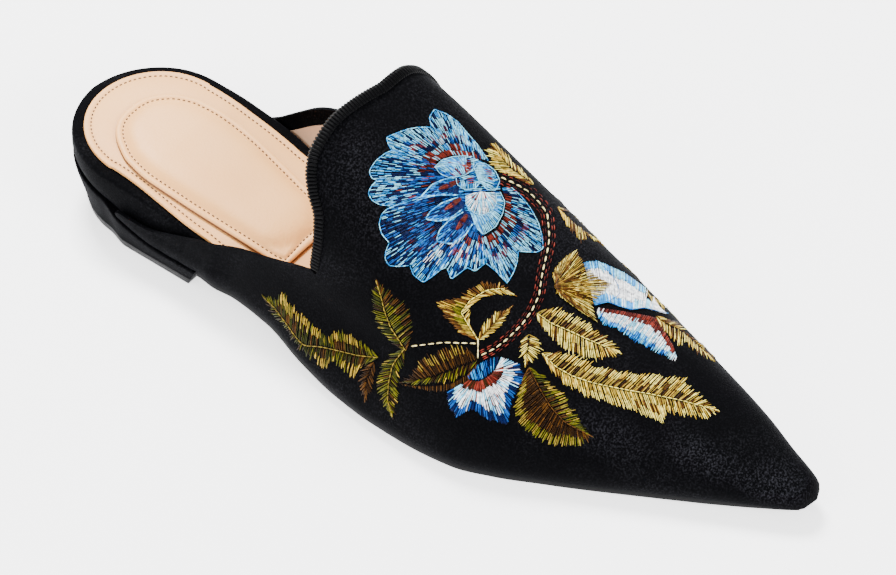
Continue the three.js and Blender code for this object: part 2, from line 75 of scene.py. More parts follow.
def steady(xs, ys):
    """A smooth curve through points that never swings past them."""
    step = np.diff(xs)
    slope = np.diff(ys) / step
    same = slope[1:] * slope[:-1]
    total = np.where(same > 0, slope[1:] + slope[:-1], 1)
    middle = np.where(same > 0, 2 * same / total, 0)
    tangent = np.concatenate([slope[:1], middle, slope[-1:]])

    def read(x):
        x = np.clip(x, xs[0], xs[-1])
        i = np.clip(np.searchsorted(xs, x, side="right") - 1, 0, len(xs) - 2)
        t = (x - xs[i]) / step[i]
        rise = ys[i] * (1 + 2 * t) * (1 - t) ** 2 + ys[i + 1] * t * t * (3 - 2 * t)
        return rise + step[i] * t * (1 - t) * (tangent[i] * (1 - t) - tangent[i + 1] * t)

    return read


def table(columns, rows):
    """Smooth curves over the first column of a table, one for each other column."""
    first, *others = np.array(rows, dtype=float).T
    return {name: steady(first, other) for name, other in zip(columns.split()[1:], others)}


PLAN = table("at ball outer inner", [
    (0.103, 0, 0.534, -0.466), (0.142, 0, 0.535, -0.473), (0.193, 0, 0.532, -0.452),
    (0.245, 0, 0.531, -0.408), (0.296, 1, 0.391, -0.263), (0.347, 1, 0.404, -0.25),
    (0.413, 1, 0.466, -0.279), (0.475, 1, 0.514, -0.343), (0.53, 1, 0.541, -0.395),
    (0.589, 1, 0.55, -0.44), (0.64, 1, 0.538, -0.449), (0.687, 1, 0.488, -0.436),
    (0.742, 1, 0.404, -0.398), (0.797, 1, 0.319, -0.352), (0.852, 1, 0.232, -0.302),
    (0.907, 1, 0.146, -0.242), (0.951, 1, 0.08, -0.184), (0.98, 1, 0.032, -0.15),
    (0.993, 1, 0.002, -0.129), (1, 1, -0.034, -0.104),
])
ARCH = table("at outer inner ridge height square_outer square_inner", [
    (0.103, 0.387, -0.339, 0, 0.975, 3, 3), (0.175, 0.387, -0.35, -0.01, 0.975, 3, 3),
    (0.245, 0.383, -0.368, -0.04, 0.985, 3, 3), (0.347, 0.38, -0.415, -0.09, 1.01, 3.2, 3.1),
    (0.38, 0.38, -0.44, -0.11, 1, 3.3, 3.2), (0.413, 0.385, -0.455, -0.12, 0.945, 3.2, 3.3),
    (0.475, 0.41, -0.478, -0.13, 0.81, 2.9, 3.3), (0.53, 0.445, -0.487, -0.13, 0.69, 2.6, 3.3),
    (0.589, 0.5, -0.482, -0.13, 0.585, 2.3, 3.2), (0.64, 0.515, -0.468, -0.126, 0.508, 2.2, 3),
    (0.687, 0.48, -0.45, -0.12, 0.452, 2.1, 2.8), (0.742, 0.401, -0.413, -0.114, 0.397, 2, 2.6),
    (0.797, 0.317, -0.371, -0.105, 0.351, 2, 2.4), (0.852, 0.231, -0.32, -0.096, 0.303, 2, 2.3),
    (0.907, 0.146, -0.255, -0.085, 0.252, 2, 2.3), (0.951, 0.08, -0.19, -0.072, 0.204, 2, 2.2),
    (0.98, 0.032, -0.151, -0.066, 0.17, 2, 2.1), (0.993, 0.002, -0.13, -0.066, 0.146, 2, 2),
    (1, -0.034, -0.104, -0.068, 0.112, 2, 2),
])
LEVEL = table("at under top seam", [
    (0, 1, 1, 1), (0.05, 1, 0.983, 0.96), (0.103, 1, 0.941, 0.83), (0.142, 1, 0.9, 0.63),
    (0.165, 1, 0.865, 0.52), (0.193, 1, 0.82, 0.455), (0.244, 1, 0.72, 0.43),
    (0.296, 0.82, 0.62, 0.43), (0.347, 0.53, 0.51, 0.43), (0.413, 0.18, 0.375, 0.43),
    (0.475, 0, 0.29, 0.43), (0.53, 0, 0.255, 0.43), (0.74, 0, 0.245, 0.43),
    (0.83, 0.13, 0.25, 0.43), (0.92, 0.32, 0.262, 0.43), (1, 0.46, 0.28, 0.43),
])


def plan_x(side, y):
    """x of the upper's outline where it meets the sole."""
    at = y / LENGTH
    return PLAN[side](at) * mix(HEEL_OUTSIDE, BALL_WIDTH, PLAN["ball"](at))


def seam_z(y):
    return LEVEL["seam"](y / LENGTH) * HEEL_HEIGHT


def under_z(y):
    """Underside of the outsole."""
    return LEVEL["under"](y / LENGTH) * (seam_z(BREAST_TOP) - SOLE_THICKNESS)


def top_z(y):
    """Top of the footbed."""
    return LEVEL["top"](y / LENGTH) * SEAT_HEIGHT


def feather_z(y):
    """Lower edge of the upper."""
    return GAP + np.where(y < BREAST_TOP, seam_z(y), under_z(y) + SOLE_THICKNESS)


def side_x(side, y, rise):
    """x of the upper's outside, so far above its lower edge."""
    at = y / LENGTH
    square = ARCH["square_" + side](at)
    full = ARCH["height"](at) * INSTEP_HEIGHT - feather_z(y)
    ridge = ARCH["ridge"](at) * BALL_WIDTH
    at_sole = np.abs(plan_x(side, y) - ridge)
    at_arch = np.abs(ARCH[side](at) * BALL_WIDTH - ridge)
    half = mix(at_sole, at_arch, smooth(rise / LEAN_HEIGHT))
    bend = (1 - np.clip(rise / full, 0, 1) ** square) ** (1 / square)
    turned_in = np.minimum(FEATHER_TUCK, at_sole / 8) * np.clip(1 - rise / FEATHER_ROUND, 0, 1) ** 2
    return ridge + SIGN[side] * (half * bend - turned_in)


# Outsole: a thin black rubber sheet from the heel's breast to the toe, cut a little inside the
# upper's outline, flat under the ball and sprung up at the toe. Its edge is buffed round, and
# its ground is finely pebbled.
SOLE_INSET = 0.0016
SOLE_TOE = 0.03
TOE_INSET = 2.2
SOLE_EDGE = 0.0005
SOLE_EDGE_SHARE = 0.2
BEVEL = 0.3
MERGE = 1e-7
RUBBER = (0.003, 0.003, 0.0035, 1)
RUBBER_WORN = (0.012, 0.012, 0.013, 1)


class Signal:
    """A socket of a finish. Sums and products of signals add Math nodes."""

    def __init__(self, finish, socket):
        self.finish = finish
        self.socket = socket

    def maths(self, operation, first, second):
        return self.finish.node("ShaderNodeMath", {"operation": operation}, [first, second])

    def __add__(self, other):
        return self.maths("ADD", self, other)

    def __rsub__(self, other):
        return self.maths("SUBTRACT", other, self)

    def __mul__(self, other):
        return self.maths("MULTIPLY", self, other)

    __radd__ = __add__
    __rmul__ = __mul__


class Finish:
    """A material round one Principled shader, whose even sockets are set straight away."""

    def __init__(self, name, even):
        self.material = bpy.data.materials.new(name)
        self.material.use_nodes = True
        self.tree = self.material.node_tree
        self.shader = self.tree.nodes["Principled BSDF"]
        for socket, value in even.items():
            self.feed(socket, value)

    def put(self, socket, value):
        if isinstance(value, Signal):
            self.tree.links.new(value.socket, socket)
        else:
            socket.default_value = value

    def feed(self, socket, value):
        """Sets a socket of the shader itself."""
        self.put(self.shader.inputs[socket], value)

    def node(self, kind, settings=(), inputs=(), output=0):
        """Adds a node: its settings first, then its sockets by order, number or name."""
        made = self.tree.nodes.new(kind)
        for key, value in dict(settings).items():
            setattr(made, key, value)
        pairs = inputs.items() if isinstance(inputs, dict) else enumerate(inputs)
        for key, value in pairs:
            self.put(made.inputs[key], value)
        return Signal(self, made.outputs[output])

    def vector(self, operation, inputs, output=0):
        return self.node("ShaderNodeVectorMath", {"operation": operation}, inputs, output)

    def place(self):
        """The place on the piece, in metres."""
        return self.node("ShaderNodeTexCoord", output="Object")

    def noise(self, size, stretch=(1, 1, 1), detail=2.0):
        """Soft noise whose lumps are about so many metres across, finer along a stretched axis."""
        place = self.vector("MULTIPLY", [self.place(), stretch])
        inputs = {"Vector": place, "Scale": 1 / size, "Detail": detail}
        return self.node("ShaderNodeTexNoise", {}, inputs)

    def steps(self, value, low, high):
        """0 below low, 1 above high and smooth between."""
        inputs = {"Value": value, "From Min": low, "From Max": high}
        return self.node("ShaderNodeMapRange", {"interpolation_type": "SMOOTHSTEP"}, inputs)

    def blend(self, share, first, second):
        """Mixes two colours."""
        return self.node("ShaderNodeMix", {"data_type": "RGBA"}, {0: share, 6: first, 7: second}, 2)

    def relief(self, height, depth, strength=1.0):
        """Bumps the surface by a height of 0 to 1 that stands so many metres high."""
        inputs = {"Strength": strength, "Distance": depth, "Height": height}
        self.feed("Normal", self.node("ShaderNodeBump", {}, inputs))


def rubber(name, pebble, worn):
    """Black rubber with a fine pebble and pale scuffs."""
    finish = Finish(name, {"Specular IOR Level": 0.1})
    scuff = finish.steps(finish.noise(0.012, detail=6.0), 0.5, 0.75)
    finish.feed("Base Color", finish.blend(scuff * worn, RUBBER, RUBBER_WORN))
    finish.feed("Roughness", 0.5 + 0.25 * scuff)
    finish.relief(finish.noise(pebble), depth=0.0002, strength=0.6)
    return finish


def linked(name, data):
    """An object with this data, put in the scene."""
    made = bpy.data.objects.new(name, data)
    bpy.context.scene.collection.objects.link(made)
    return made


def piece(name, points, faces, finish, sharp=40):
    """A mesh in the shared frame that rides on the shoe, its faces turned out and shaded round."""
    mesh = bpy.data.meshes.new(name)
    mesh.from_pydata((np.asarray(points) + HEEL_BACK).tolist(), [], faces)
    work = bmesh.new()
    work.from_mesh(mesh)
    bmesh.ops.remove_doubles(work, verts=work.verts, dist=MERGE)
    bmesh.ops.dissolve_degenerate(work, edges=work.edges, dist=MERGE)
    bmesh.ops.recalc_face_normals(work, faces=work.faces)
    work.to_mesh(mesh)
    work.free()
    mesh.shade_smooth()
    mesh.set_sharp_from_angle(angle=math.radians(sharp))
    mesh.materials.append(finish.material)
    made = linked(name, mesh)
    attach(made, "root")
    return made


def bands(loops, count):
    """Faces between closed loops of as many points each."""
    faces = []
    for i in range(loops - 1):
        for j in range(count):
            a = i * count + j
            b = i * count + (j + 1) % count
            faces.append((a, b, b + count, a + count))
    return faces


def lofted(name, lines, finish, sharp=40):
    """A closed piece skinned over lines that run along the shoe, in order round it, each with its
    x, y and z. It is flat at both ends."""
    rings = np.stack([np.stack(np.broadcast_arrays(*line), -1) for line in lines], 1)
    length, count, _ = rings.shape
    foot = tuple(range(count))[::-1]
    head = tuple((length - 1) * count + j for j in range(count))
    return piece(name, rings.reshape(-1, 3), [*bands(length, count), foot, head], finish, sharp)


def make_outsole():
    y = np.linspace(BREAST_TOP + GAP, LENGTH - TOE_INSET * SOLE_INSET, 150)
    half = (plan_x("outer", y) - plan_x("inner", y)) / 2
    toe = smooth((y - LENGTH) / SOLE_TOE + 1)
    inset = np.minimum(SOLE_INSET * mix(1, TOE_INSET, toe), half * mix(0.4, 0.7, toe))
    outer = plan_x("outer", y) - inset
    inner = plan_x("inner", y) + inset
    low = under_z(y)
    high = low + SOLE_THICKNESS
    edge = np.minimum(SOLE_EDGE, half * SOLE_EDGE_SHARE)
    bevel = edge * BEVEL
    lines = [
        (outer - edge, y, low),
        (outer - bevel, y, low + bevel),
        (outer, y, low + SOLE_EDGE),
        (outer, y, high - SOLE_EDGE / 2),
        (outer - bevel, y, high),
        (inner + bevel, y, high),
        (inner, y, high - SOLE_EDGE / 2),
        (inner, y, low + SOLE_EDGE),
        (inner + bevel, y, low + bevel),
        (inner + edge, y, low),
    ]
    finish = rubber("sole_rubber", pebble=0.0009, worn=0.5)
    outsole = lofted("outsole_rubber", lines, finish)
    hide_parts("outsole")


make_outsole()


# Heel block and top lift: a low wooden block under the seat, covered with the upper's velvet, which
# is turned under at the seam, and a rubber lift nailed to its foot. It leans in to the floor.
LIFT_THICKNESS = 0.0034
LIFT_EDGE = 0.0004
HEEL_SLOPE = 0.0042
BREAST_FLOOR = 0.0624
TAPER_BACK = 0.855
TAPER_BREAST = 0.94
SEAM_ROUND = 0.0007
HEEL_BOW = 0.5
WRAP_START = 0.9
WRAP_RUN = 0.35
HEEL_REVEAL = 0.0004
VELVET = (0.0004, 0.0004, 0.0007, 1)
VELVET_SPECK_AND_SHEEN = (0.030, 0.030, 0.037, 1)
# Patches of painted sheen, grey specks in the velvet's colour where light catches the pile:
# middle, radii along x, y and z, and how strongly. Each patch fades out at a little over its radii.
PATCH_REACH = 1.2
PAINTED_SHEEN_PATCHES = [
    ((-0.001, 0.127, 0.013), (0.010, 0.016, 0.007), 1.0),
    ((0.006, 0.106, 0.017), (0.008, 0.026, 0.007), 0.8),
    ((0.019, 0.078, 0.020), (0.010, 0.026, 0.008), 0.55),
    ((0.013, 0.004, 0.054), (0.016, 0.018, 0.014), 0.5),
    ((0.014, -0.016, 0.067), (0.020, 0.020, 0.016), 0.45),
    ((0.026, -0.030, 0.040), (0.014, 0.022, 0.012), 0.3),
    ((-0.026, 0.030, 0.040), (0.018, 0.030, 0.014), 0.5),
    ((-0.030, 0.085, 0.016), (0.010, 0.030, 0.010), 0.5),
]


def patches(finish):
    """How much painted sheen each place gets, from soft round patches."""
    total = 0.0
    at = finish.place()
    for middle, radii, strength in PAINTED_SHEEN_PATCHES:
        away = finish.vector("DIVIDE", [finish.vector("SUBTRACT", [at, middle]), radii])
        reach = finish.vector("LENGTH", [away], output=1)
        total = finish.steps(reach, PATCH_REACH, 0) * strength + total
    return total


def velvet(name, specks_and_sheen=1.0):
    """Short black silk pile: dark, grey in random specks, and in more specks as painted sheen."""
    even = {
        "Specular IOR Level": 0.03,
        "Sheen Weight": 0.02,
        "Sheen Roughness": 0.4,
        "Sheen Tint": (0.72, 0.76, 0.9, 1),
    }
    finish = Finish(name, even)
    grain = finish.noise(0.0006, detail=3.0)
    nap = finish.noise(0.022, (1.6, 0.7, 1), 4.0)
    speck = finish.steps(grain, 0.42, 0.78)
    swept = finish.steps(nap, 0.42, 0.7)
    # Grey specks: a few from the random nap, and most in the patches of painted sheen.
    share = (0.05 + 0.16 * swept + 0.75 * patches(finish)) * speck * specks_and_sheen
    finish.feed("Base Color", finish.blend(share, VELVET, VELVET_SPECK_AND_SHEEN))
    finish.feed("Roughness", 0.85 - 0.25 * swept * speck)
    finish.relief(grain, depth=0.0003, strength=0.7)
    return finish


def footbed_x(side, y, rise):
    """x of the footbed's edge: a half circle at the heel, then inside the upper's wall."""
    place = np.maximum(y, HEEL_RADIUS)
    ahead = np.minimum(place + 0.001, LENGTH)
    slope = (plan_x(side, ahead) - plan_x(side, place - 0.001)) / (ahead - place + 0.001)
    edge = side_x(side, place, rise) - SIGN[side] * (WALL + LASTING_GAP) * np.hypot(1, slope)
    back = np.clip(HEEL_RADIUS - y, 0, HEEL_RADIUS)
    return edge - SIGN[side] * (HEEL_RADIUS - np.sqrt(HEEL_RADIUS**2 - back**2))


def heel_places(end, around, along):
    """Places along a piece that starts with the heel's half circle, closer together at its back."""
    turn = np.linspace(0.06, math.pi / 2, around, endpoint=False)
    return np.concatenate([HEEL_RADIUS * (1 - np.cos(turn)), np.linspace(HEEL_RADIUS, end, along)])


def heel_top_x(side, y):
    """x of the block's top edge: flush with the footbed at the back, then with the quarters."""
    wrap = smooth((y / HEEL_RADIUS - WRAP_START) / WRAP_RUN)
    return footbed_x(side, y, FEATHER_ROUND) + SIGN[side] * wrap * (WALL + LASTING_GAP - HEEL_REVEAL)


def heel_side(side, y, down):
    """x and y of the block's side at a share of the way from the seam down to the floor."""
    along = y / BREAST_TOP
    middle = (heel_top_x("outer", y) + heel_top_x("inner", y)) / 2
    taper = mix(1, mix(TAPER_BACK, TAPER_BREAST, along), down)
    x = middle + (heel_top_x(side, y) - middle) * taper
    return x, mix(y, mix(HEEL_SLOPE, BREAST_FLOOR, along), down)


def round_shoe(line_of, levels):
    """Lines at each level of the outer side, then back along the inner side."""
    outer, inner = ([line_of(side, *level) for level in levels] for side in SIGN)
    return outer + inner[::-1]


def make_heel():
    y = heel_places(BREAST_TOP, 40, 30)
    seam = seam_z(y)
    foot = LIFT_THICKNESS + GAP

    def line(side, down):
        bow = mix(smooth(down), down, HEEL_BOW)
        x, at = heel_side(side, y, bow * (seam - foot) / seam)
        z = mix(seam, foot, down)
        rolled = np.clip(1 - (seam - z) / SEAM_ROUND, 0, 1)
        return x - SIGN[side] * SEAM_ROUND * (1 - np.sqrt(1 - rolled**2)), at, z

    downs = [0, 0.01, 0.025, 0.05, 0.09, *np.linspace(0.15, 1, 14)]
    lines = round_shoe(line, [(down,) for down in downs])
    block = lofted("heel_block_velvet", lines, velvet("heel_velvet"))
    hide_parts("heel_block")


def make_lift():
    y = heel_places(BREAST_TOP, 40, 30)

    def line(side, z, inset):
        x, at = heel_side(side, y, 1 - z / seam_z(y))
        return x - SIGN[side] * inset, at, z

    lines = round_shoe(line, [(0, LIFT_EDGE), (LIFT_EDGE, 0), (LIFT_THICKNESS, 0)])
    finish = rubber("lift_rubber", pebble=0.0006, worn=0.8)
    lift = lofted("top_lift_rubber", lines, finish)
    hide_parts("top_lift")


make_heel()
make_lift()


# Footbed: a shaped board wrapped in black velvet, whose rounded edge shows as a dark rim round
# the tan sock. It sits on the heel block and the outsole, inside the upper.
FOOTBED_END = 0.2585
RIM_ROUND = 0.0012


def make_footbed():
    y = heel_places(FOOTBED_END, 60, 110)
    low = feather_z(y)
    high = top_z(y) - low
    room = (footbed_x("outer", y, high) - footbed_x("inner", y, high)) / 4
    edge = np.minimum(RIM_ROUND, room)

    def line(side, share, turn):
        rise = share * (high - edge) + edge * math.sin(turn)
        inset = edge * (1 - math.cos(turn))
        return footbed_x(side, y, rise) - SIGN[side] * inset, y, low + rise

    levels = [(share, 0) for share in (0, 0.06, 0.14, 0.25, 0.4, 0.6, 0.8, 1)]
    levels += [(1, turn) for turn in np.radians([22.5, 45, 67.5, 90])]
    # The rim's velvet gets a fifth more grey specks and painted sheen.
    finish = velvet("footbed_velvet", specks_and_sheen=1.2)
    board = lofted("footbed_wrap", round_shoe(line, levels), finish, sharp=60)
    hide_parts("footbed")


make_footbed()


# Sock: a thin sheet of tan leather glued to the footbed, with a smooth full grain. A row of
# brown thread runs round it a little inside its cut edge, in a shallow channel of its own.
INSOLE_END = 0.250
INSOLE_THICKNESS = 0.001
RIM_WIDTH = 0.0040
RIM_WIDTH_WAIST = {"outer": 0.0015, "inner": 0.0052}
RIM_RUN = 1.2
SOCK_STITCH_INSET = 0.0023
SOCK_STITCH_END = 0.15
# The sock's section from its cut edge in: insets, and heights as shares of its thickness.
SOCK_SECTION = [
    (0, 0.55), (0.00012, 0.85), (0.00045, 1), (SOCK_STITCH_INSET - 0.0009, 1),
    (SOCK_STITCH_INSET - 0.0004, 0.86), (SOCK_STITCH_INSET, 0.72),
    (SOCK_STITCH_INSET + 0.0004, 0.86), (SOCK_STITCH_INSET + 0.0009, 1), (0.008, 1), (0.014, 1),
]
STITCH_LENGTH = 0.0011
STITCH_PAUSE = 0.0006
STITCH_WIDTH = 0.00048
STITCH_RISE = 0.00018
# The section of a thread as angles round it: flat below, round above.
THREAD_SECTION = np.radians([-25, 40, 90, 140, 205])
THREAD_TIP = 0.9
TAN = (0.86, 0.42, 0.13, 1)
TAN_DEEP = (0.76, 0.34, 0.10, 1)
TAN_THREAD = (0.055, 0.024, 0.01, 1)


def leather(name, light, deep, polish=0.45):
    """Smooth full-grain leather with faint clouds and fine pores."""
    finish = Finish(name, {"Specular IOR Level": 0.4})
    clouds = finish.noise(0.03, detail=3.0)
    pores = finish.noise(0.0007, detail=4.0)
    share = 0.45 * finish.steps(clouds, 0.35, 0.75) + 0.2 * finish.steps(pores, 0.5, 0.7)
    finish.feed("Base Color", finish.blend(share, light, deep))
    finish.feed("Roughness", polish + 0.15 * pores)
    finish.relief(pores, depth=0.00012, strength=0.5)
    return finish


def rim_width(side, y):
    return mix(RIM_WIDTH, RIM_WIDTH_WAIST[side], smooth((y - HEEL_RADIUS) / (RIM_RUN * HEEL_RADIUS)))


def insole_x(side, y):
    """x of the sock's edge: a half circle inside the rim, then parallel to the footbed."""
    place = np.maximum(y, HEEL_RADIUS)
    rise = top_z(place) + INSOLE_THICKNESS + GAP - feather_z(place)
    edge = footbed_x(side, place, rise) - SIGN[side] * rim_width(side, y)
    radius = HEEL_RADIUS - RIM_WIDTH
    back = np.clip(HEEL_RADIUS - y, 0, radius)
    return edge - SIGN[side] * (radius - np.sqrt(radius**2 - back**2))


def sheet(outline, spine, profile, base_z):
    """Points and faces of a sheet: loops that step in from the outline to the spine by the
    profile's (inset, height) pairs. base_z gives the level that the sheet lies on."""
    reach = spine - outline
    room = np.linalg.norm(reach, axis=1, keepdims=True)
    ground = base_z(outline[:, 1])
    loops = [np.column_stack([spine, base_z(spine[:, 1])]), np.column_stack([outline, ground])]
    for inset, height in profile:
        share = np.clip(inset / np.maximum(room, 1e-6), 0, 0.98)
        at = outline + reach * share
        loops.append(np.column_stack([at, base_z(at[:, 1]) + height]))
    crown = profile[-1][1]
    loops.append(np.column_stack([spine, base_z(spine[:, 1]) + crown]))
    return np.concatenate(loops), bands(len(loops), len(outline))


def sock_loop(inset, steps=400):
    """The sock's outline, so far inside its edge, as x and y from the inner front round the heel
    to the outer front, and the point on the middle line that each is drawn in to."""
    radius = HEEL_RADIUS - RIM_WIDTH
    straight = np.linspace(INSOLE_END, HEEL_RADIUS, steps // 2)
    turn = np.linspace(0, math.pi, steps // 4)[1:-1]
    centre_x = (insole_x("outer", HEEL_RADIUS) + insole_x("inner", HEEL_RADIUS)) / 2
    centre = np.array([centre_x, HEEL_RADIUS])
    arc = centre - (radius - inset) * np.column_stack([np.cos(turn), np.sin(turn)])
    middle = (insole_x("outer", straight) + insole_x("inner", straight)) / 2
    spine = np.column_stack([middle, straight])
    sides = {}
    for side in SIGN:
        x = insole_x(side, straight)
        x = np.where(np.abs(x - middle) > inset, x - SIGN[side] * inset, middle)
        sides[side] = np.column_stack([x, straight])
    loop = np.concatenate([sides["inner"], arc, sides["outer"][::-1]])
    middles = np.concatenate([spine, np.tile(centre, (len(arc), 1)), spine[::-1]])
    return loop, middles


def threads(paths, normals, width, height):
    """Points and faces of closed stitches. paths and normals are arrays of stitch, station, xyz,
    and width and height have one value for each stitch. Ends are drawn thin."""
    stitches, stations, _ = paths.shape
    tangent = np.gradient(paths, axis=1)
    side = np.cross(normals, tangent)
    side /= np.linalg.norm(side, axis=2, keepdims=True) + 1e-12
    t = np.linspace(-1, 1, stations)
    slim = np.sqrt(1 - THREAD_TIP * t**4)[None, :, None, None]
    cosine, sine = (wave(THREAD_SECTION)[None, None, :, None] for wave in (np.cos, np.sin))
    across = cosine * side[:, :, None] * width[:, None, None, None] / 2
    up = sine * normals[:, :, None] * height[:, None, None, None]
    points = (paths[:, :, None] + (across + up) * slim).reshape(-1, 3)
    count = len(THREAD_SECTION)
    foot = tuple(range(count))[::-1]
    head = tuple((stations - 1) * count + k for k in range(count))
    pattern = [*bands(stations, count), foot, head]
    faces = []
    for i in range(stitches):
        first = i * stations * count
        faces += [tuple(first + v for v in face) for face in pattern]
    return points, faces


def sewing(name, route, finish):
    """A row of straight stitches along a route, each sunk into the leather at its ends."""
    span = np.linalg.norm(np.diff(route, axis=0), axis=1)
    along = np.concatenate([[0], np.cumsum(span)])
    count = int(along[-1] / (STITCH_LENGTH + STITCH_PAUSE))
    starts = np.linspace(0, along[-1] - STITCH_LENGTH, count)
    stations = np.linspace(0, 1, 7)
    at = starts[:, None] + STITCH_LENGTH * stations[None, :]
    paths = np.stack([np.interp(at, along, route[:, axis]) for axis in range(3)], -1)
    paths[..., 2] += STITCH_RISE * np.sin(np.pi * stations) ** 0.6 - STITCH_WIDTH * 0.45
    normals = np.zeros_like(paths)
    normals[..., 2] = 1
    width = np.full(count, STITCH_WIDTH)
    points, faces = threads(paths, normals, width, width * 0.6)
    piece(name, points, faces, finish, sharp=80)


def sock_ground(y):
    return top_z(y) + GAP


def make_insole():
    loop, spine = sock_loop(0)
    profile = [(inset, INSOLE_THICKNESS * share) for inset, share in SOCK_SECTION]
    points, faces = sheet(loop, spine, profile, sock_ground)
    finish = leather("tan_leather", TAN, TAN_DEEP)
    sock = piece("sock_leather", points, faces, finish)
    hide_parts("insole")
    row, _ = sock_loop(SOCK_STITCH_INSET)
    shown = row[row[:, 1] < SOCK_STITCH_END]
    route = np.column_stack([shown, sock_ground(shown[:, 1]) + INSOLE_THICKNESS * 0.85])
    finish = Finish("tan_thread", {"Base Color": TAN_THREAD, "Roughness": 0.6})
    sewing("sock_stitching", route, finish)


make_insole()


# Heel cushion: a foam pad under softer tan leather, stitched down round its edge, so that it
# rises in a low crown inside the stitch line and thins to a turned lip outside it.
PAD_BACK = 0.017
PAD_FRONT = 0.0934
PAD_CROWN = 0.0032
PAD_EDGE = 0.0013
PAD_STITCH_INSET = 0.0024
PAD_CORNER = 0.012
PAD_SPINE_BACK = 0.019
PAD_SPINE_FRONT = 0.012
# The cushion's section from its cut edge in: the lip, as insets and shares of the edge's height,
# and then the rise, as insets and shares of the way from there to the crown.
PAD_LIP = [
    (0, 0.35), (0.00008, 0.6), (0.0003, 0.85), (0.0008, 1), (PAD_STITCH_INSET - 0.0008, 1),
    (PAD_STITCH_INSET - 0.0003, 0.82), (PAD_STITCH_INSET, 0.7),
    (PAD_STITCH_INSET + 0.0004, 0.86), (PAD_STITCH_INSET + 0.0010, 1.15),
]
PAD_RISE = [(0.0044, 0.46), (0.0056, 0.7), (0.007, 0.85), (0.009, 0.95), (0.012, 0.99), (0.015, 1)]
# Painted shade under the cushion's lip: faces lower than this share of the lip's height are dark.
PAD_SHADE_SHARE = 0.62
PAD_TAN = (0.90, 0.45, 0.145, 1)
PAD_TAN_DEEP = (0.80, 0.37, 0.11, 1)
# Colour of the painted shade on the lip's lowest faces.
PAD_LIP_SHADE = (0.16, 0.07, 0.03, 1)
PAD = table("along outer inner", [
    (0, 0.116, 0.02), (0.012, 0.184, -0.049), (0.05, 0.267, -0.131), (0.11, 0.335, -0.199),
    (0.2, 0.398, -0.243), (0.33, 0.427, -0.257), (0.5, 0.422, -0.238), (0.65, 0.408, -0.204),
    (0.8, 0.393, -0.165), (0.96, 0.374, -0.126), (1, 0.349, -0.107),
])


def pad_loop():
    """The cushion's outline from its inner front round the back to its outer front, and the
    points of its middle line."""
    along = 1 - np.sin(np.linspace(0, math.pi / 2, 150))
    along = np.concatenate([np.linspace(1, 0.2, 90), 0.2 * along[1:]])
    y = mix(PAD_BACK, PAD_FRONT, along)
    outer = PAD["outer"](along) * HEEL_WIDTH
    inner = PAD["inner"](along) * HEEL_WIDTH
    half = (outer - inner) / 2
    spine_y = np.clip(y, PAD_BACK + PAD_SPINE_BACK, PAD_FRONT - PAD_SPINE_FRONT)
    spine_share = (spine_y - PAD_BACK) / (PAD_FRONT - PAD_BACK)
    spine_x = (PAD["outer"](spine_share) + PAD["inner"](spine_share)) / 2 * HEEL_WIDTH
    spine = np.column_stack([spine_x, spine_y])
    across = np.linspace(-1, 1, 40)[1:-1]
    front, back = (
        np.stack(np.broadcast_arrays((outer[end] + inner[end]) / 2 + half[end] * way, y[end]), -1)
        for end, way in ((0, across), (-1, across[::4]))
    )
    loop = np.concatenate([
        np.column_stack([inner, y]), back, np.column_stack([outer, y])[::-1], front[::-1],
    ])
    middles = np.concatenate([
        spine, np.tile(spine[-1], (len(back), 1)), spine[::-1], np.tile(spine[0], (len(front), 1)),
    ])
    return loop, middles


def pad_ground(y):
    return top_z(y) + 2 * GAP + INSOLE_THICKNESS


def make_pad():
    loop, spine = pad_loop()
    profile = [(inset, PAD_EDGE * share) for inset, share in PAD_LIP]
    profile += [(inset, mix(PAD_EDGE, PAD_CROWN, share)) for inset, share in PAD_RISE]
    rising = np.array(profile[len(PAD_LIP) - 1 :])
    points, faces = sheet(loop, spine, profile, pad_ground)
    height = points[:, 2] - pad_ground(points[:, 1])
    along = (points[:, 1] - PAD_BACK) / (PAD_FRONT - PAD_BACK)
    outer = PAD["outer"](along) * HEEL_WIDTH
    inner = PAD["inner"](along) * HEEL_WIDTH
    from_side = PAD_CORNER - np.minimum(outer - points[:, 0], points[:, 0] - inner)
    from_front = PAD_CORNER - (PAD_FRONT - points[:, 1])
    inset = PAD_CORNER - np.hypot(np.maximum(from_side, 0), np.maximum(from_front, 0))
    rounded = np.interp(inset, *rising.T)
    points[:, 2] -= np.where(height > PAD_EDGE * 1.1, np.maximum(height - rounded, 0), 0)
    finish = leather("pad_leather", PAD_TAN, PAD_TAN_DEEP, polish=0.42)
    cushion = piece("heel_cushion", points, faces, finish, sharp=60)
    # The lip's lowest faces take a dark brown: painted shade in the gap under the lip.
    lip_shade = Finish("cushion_painted_lip_shade", {"Base Color": PAD_LIP_SHADE, "Roughness": 0.8})
    cushion.data.materials.append(lip_shade.material)
    for face in cushion.data.polygons:
        height = face.center.z - pad_ground(face.center.y - HEEL_BACK[1])
        face.material_index = int(height < PAD_EDGE * PAD_SHADE_SHARE)
    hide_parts("heel_pad")
    reach = spine - loop
    room = np.linalg.norm(reach, axis=1, keepdims=True)
    row = loop + reach * PAD_STITCH_INSET / room
    row = np.concatenate([row, row[:1]])
    route = np.column_stack([row, pad_ground(row[:, 1]) + PAD_EDGE * 0.8])
    finish = Finish("pad_thread", {"Base Color": TAN_THREAD, "Roughness": 0.6})
    sewing("cushion_stitching", route, finish)


make_pad()


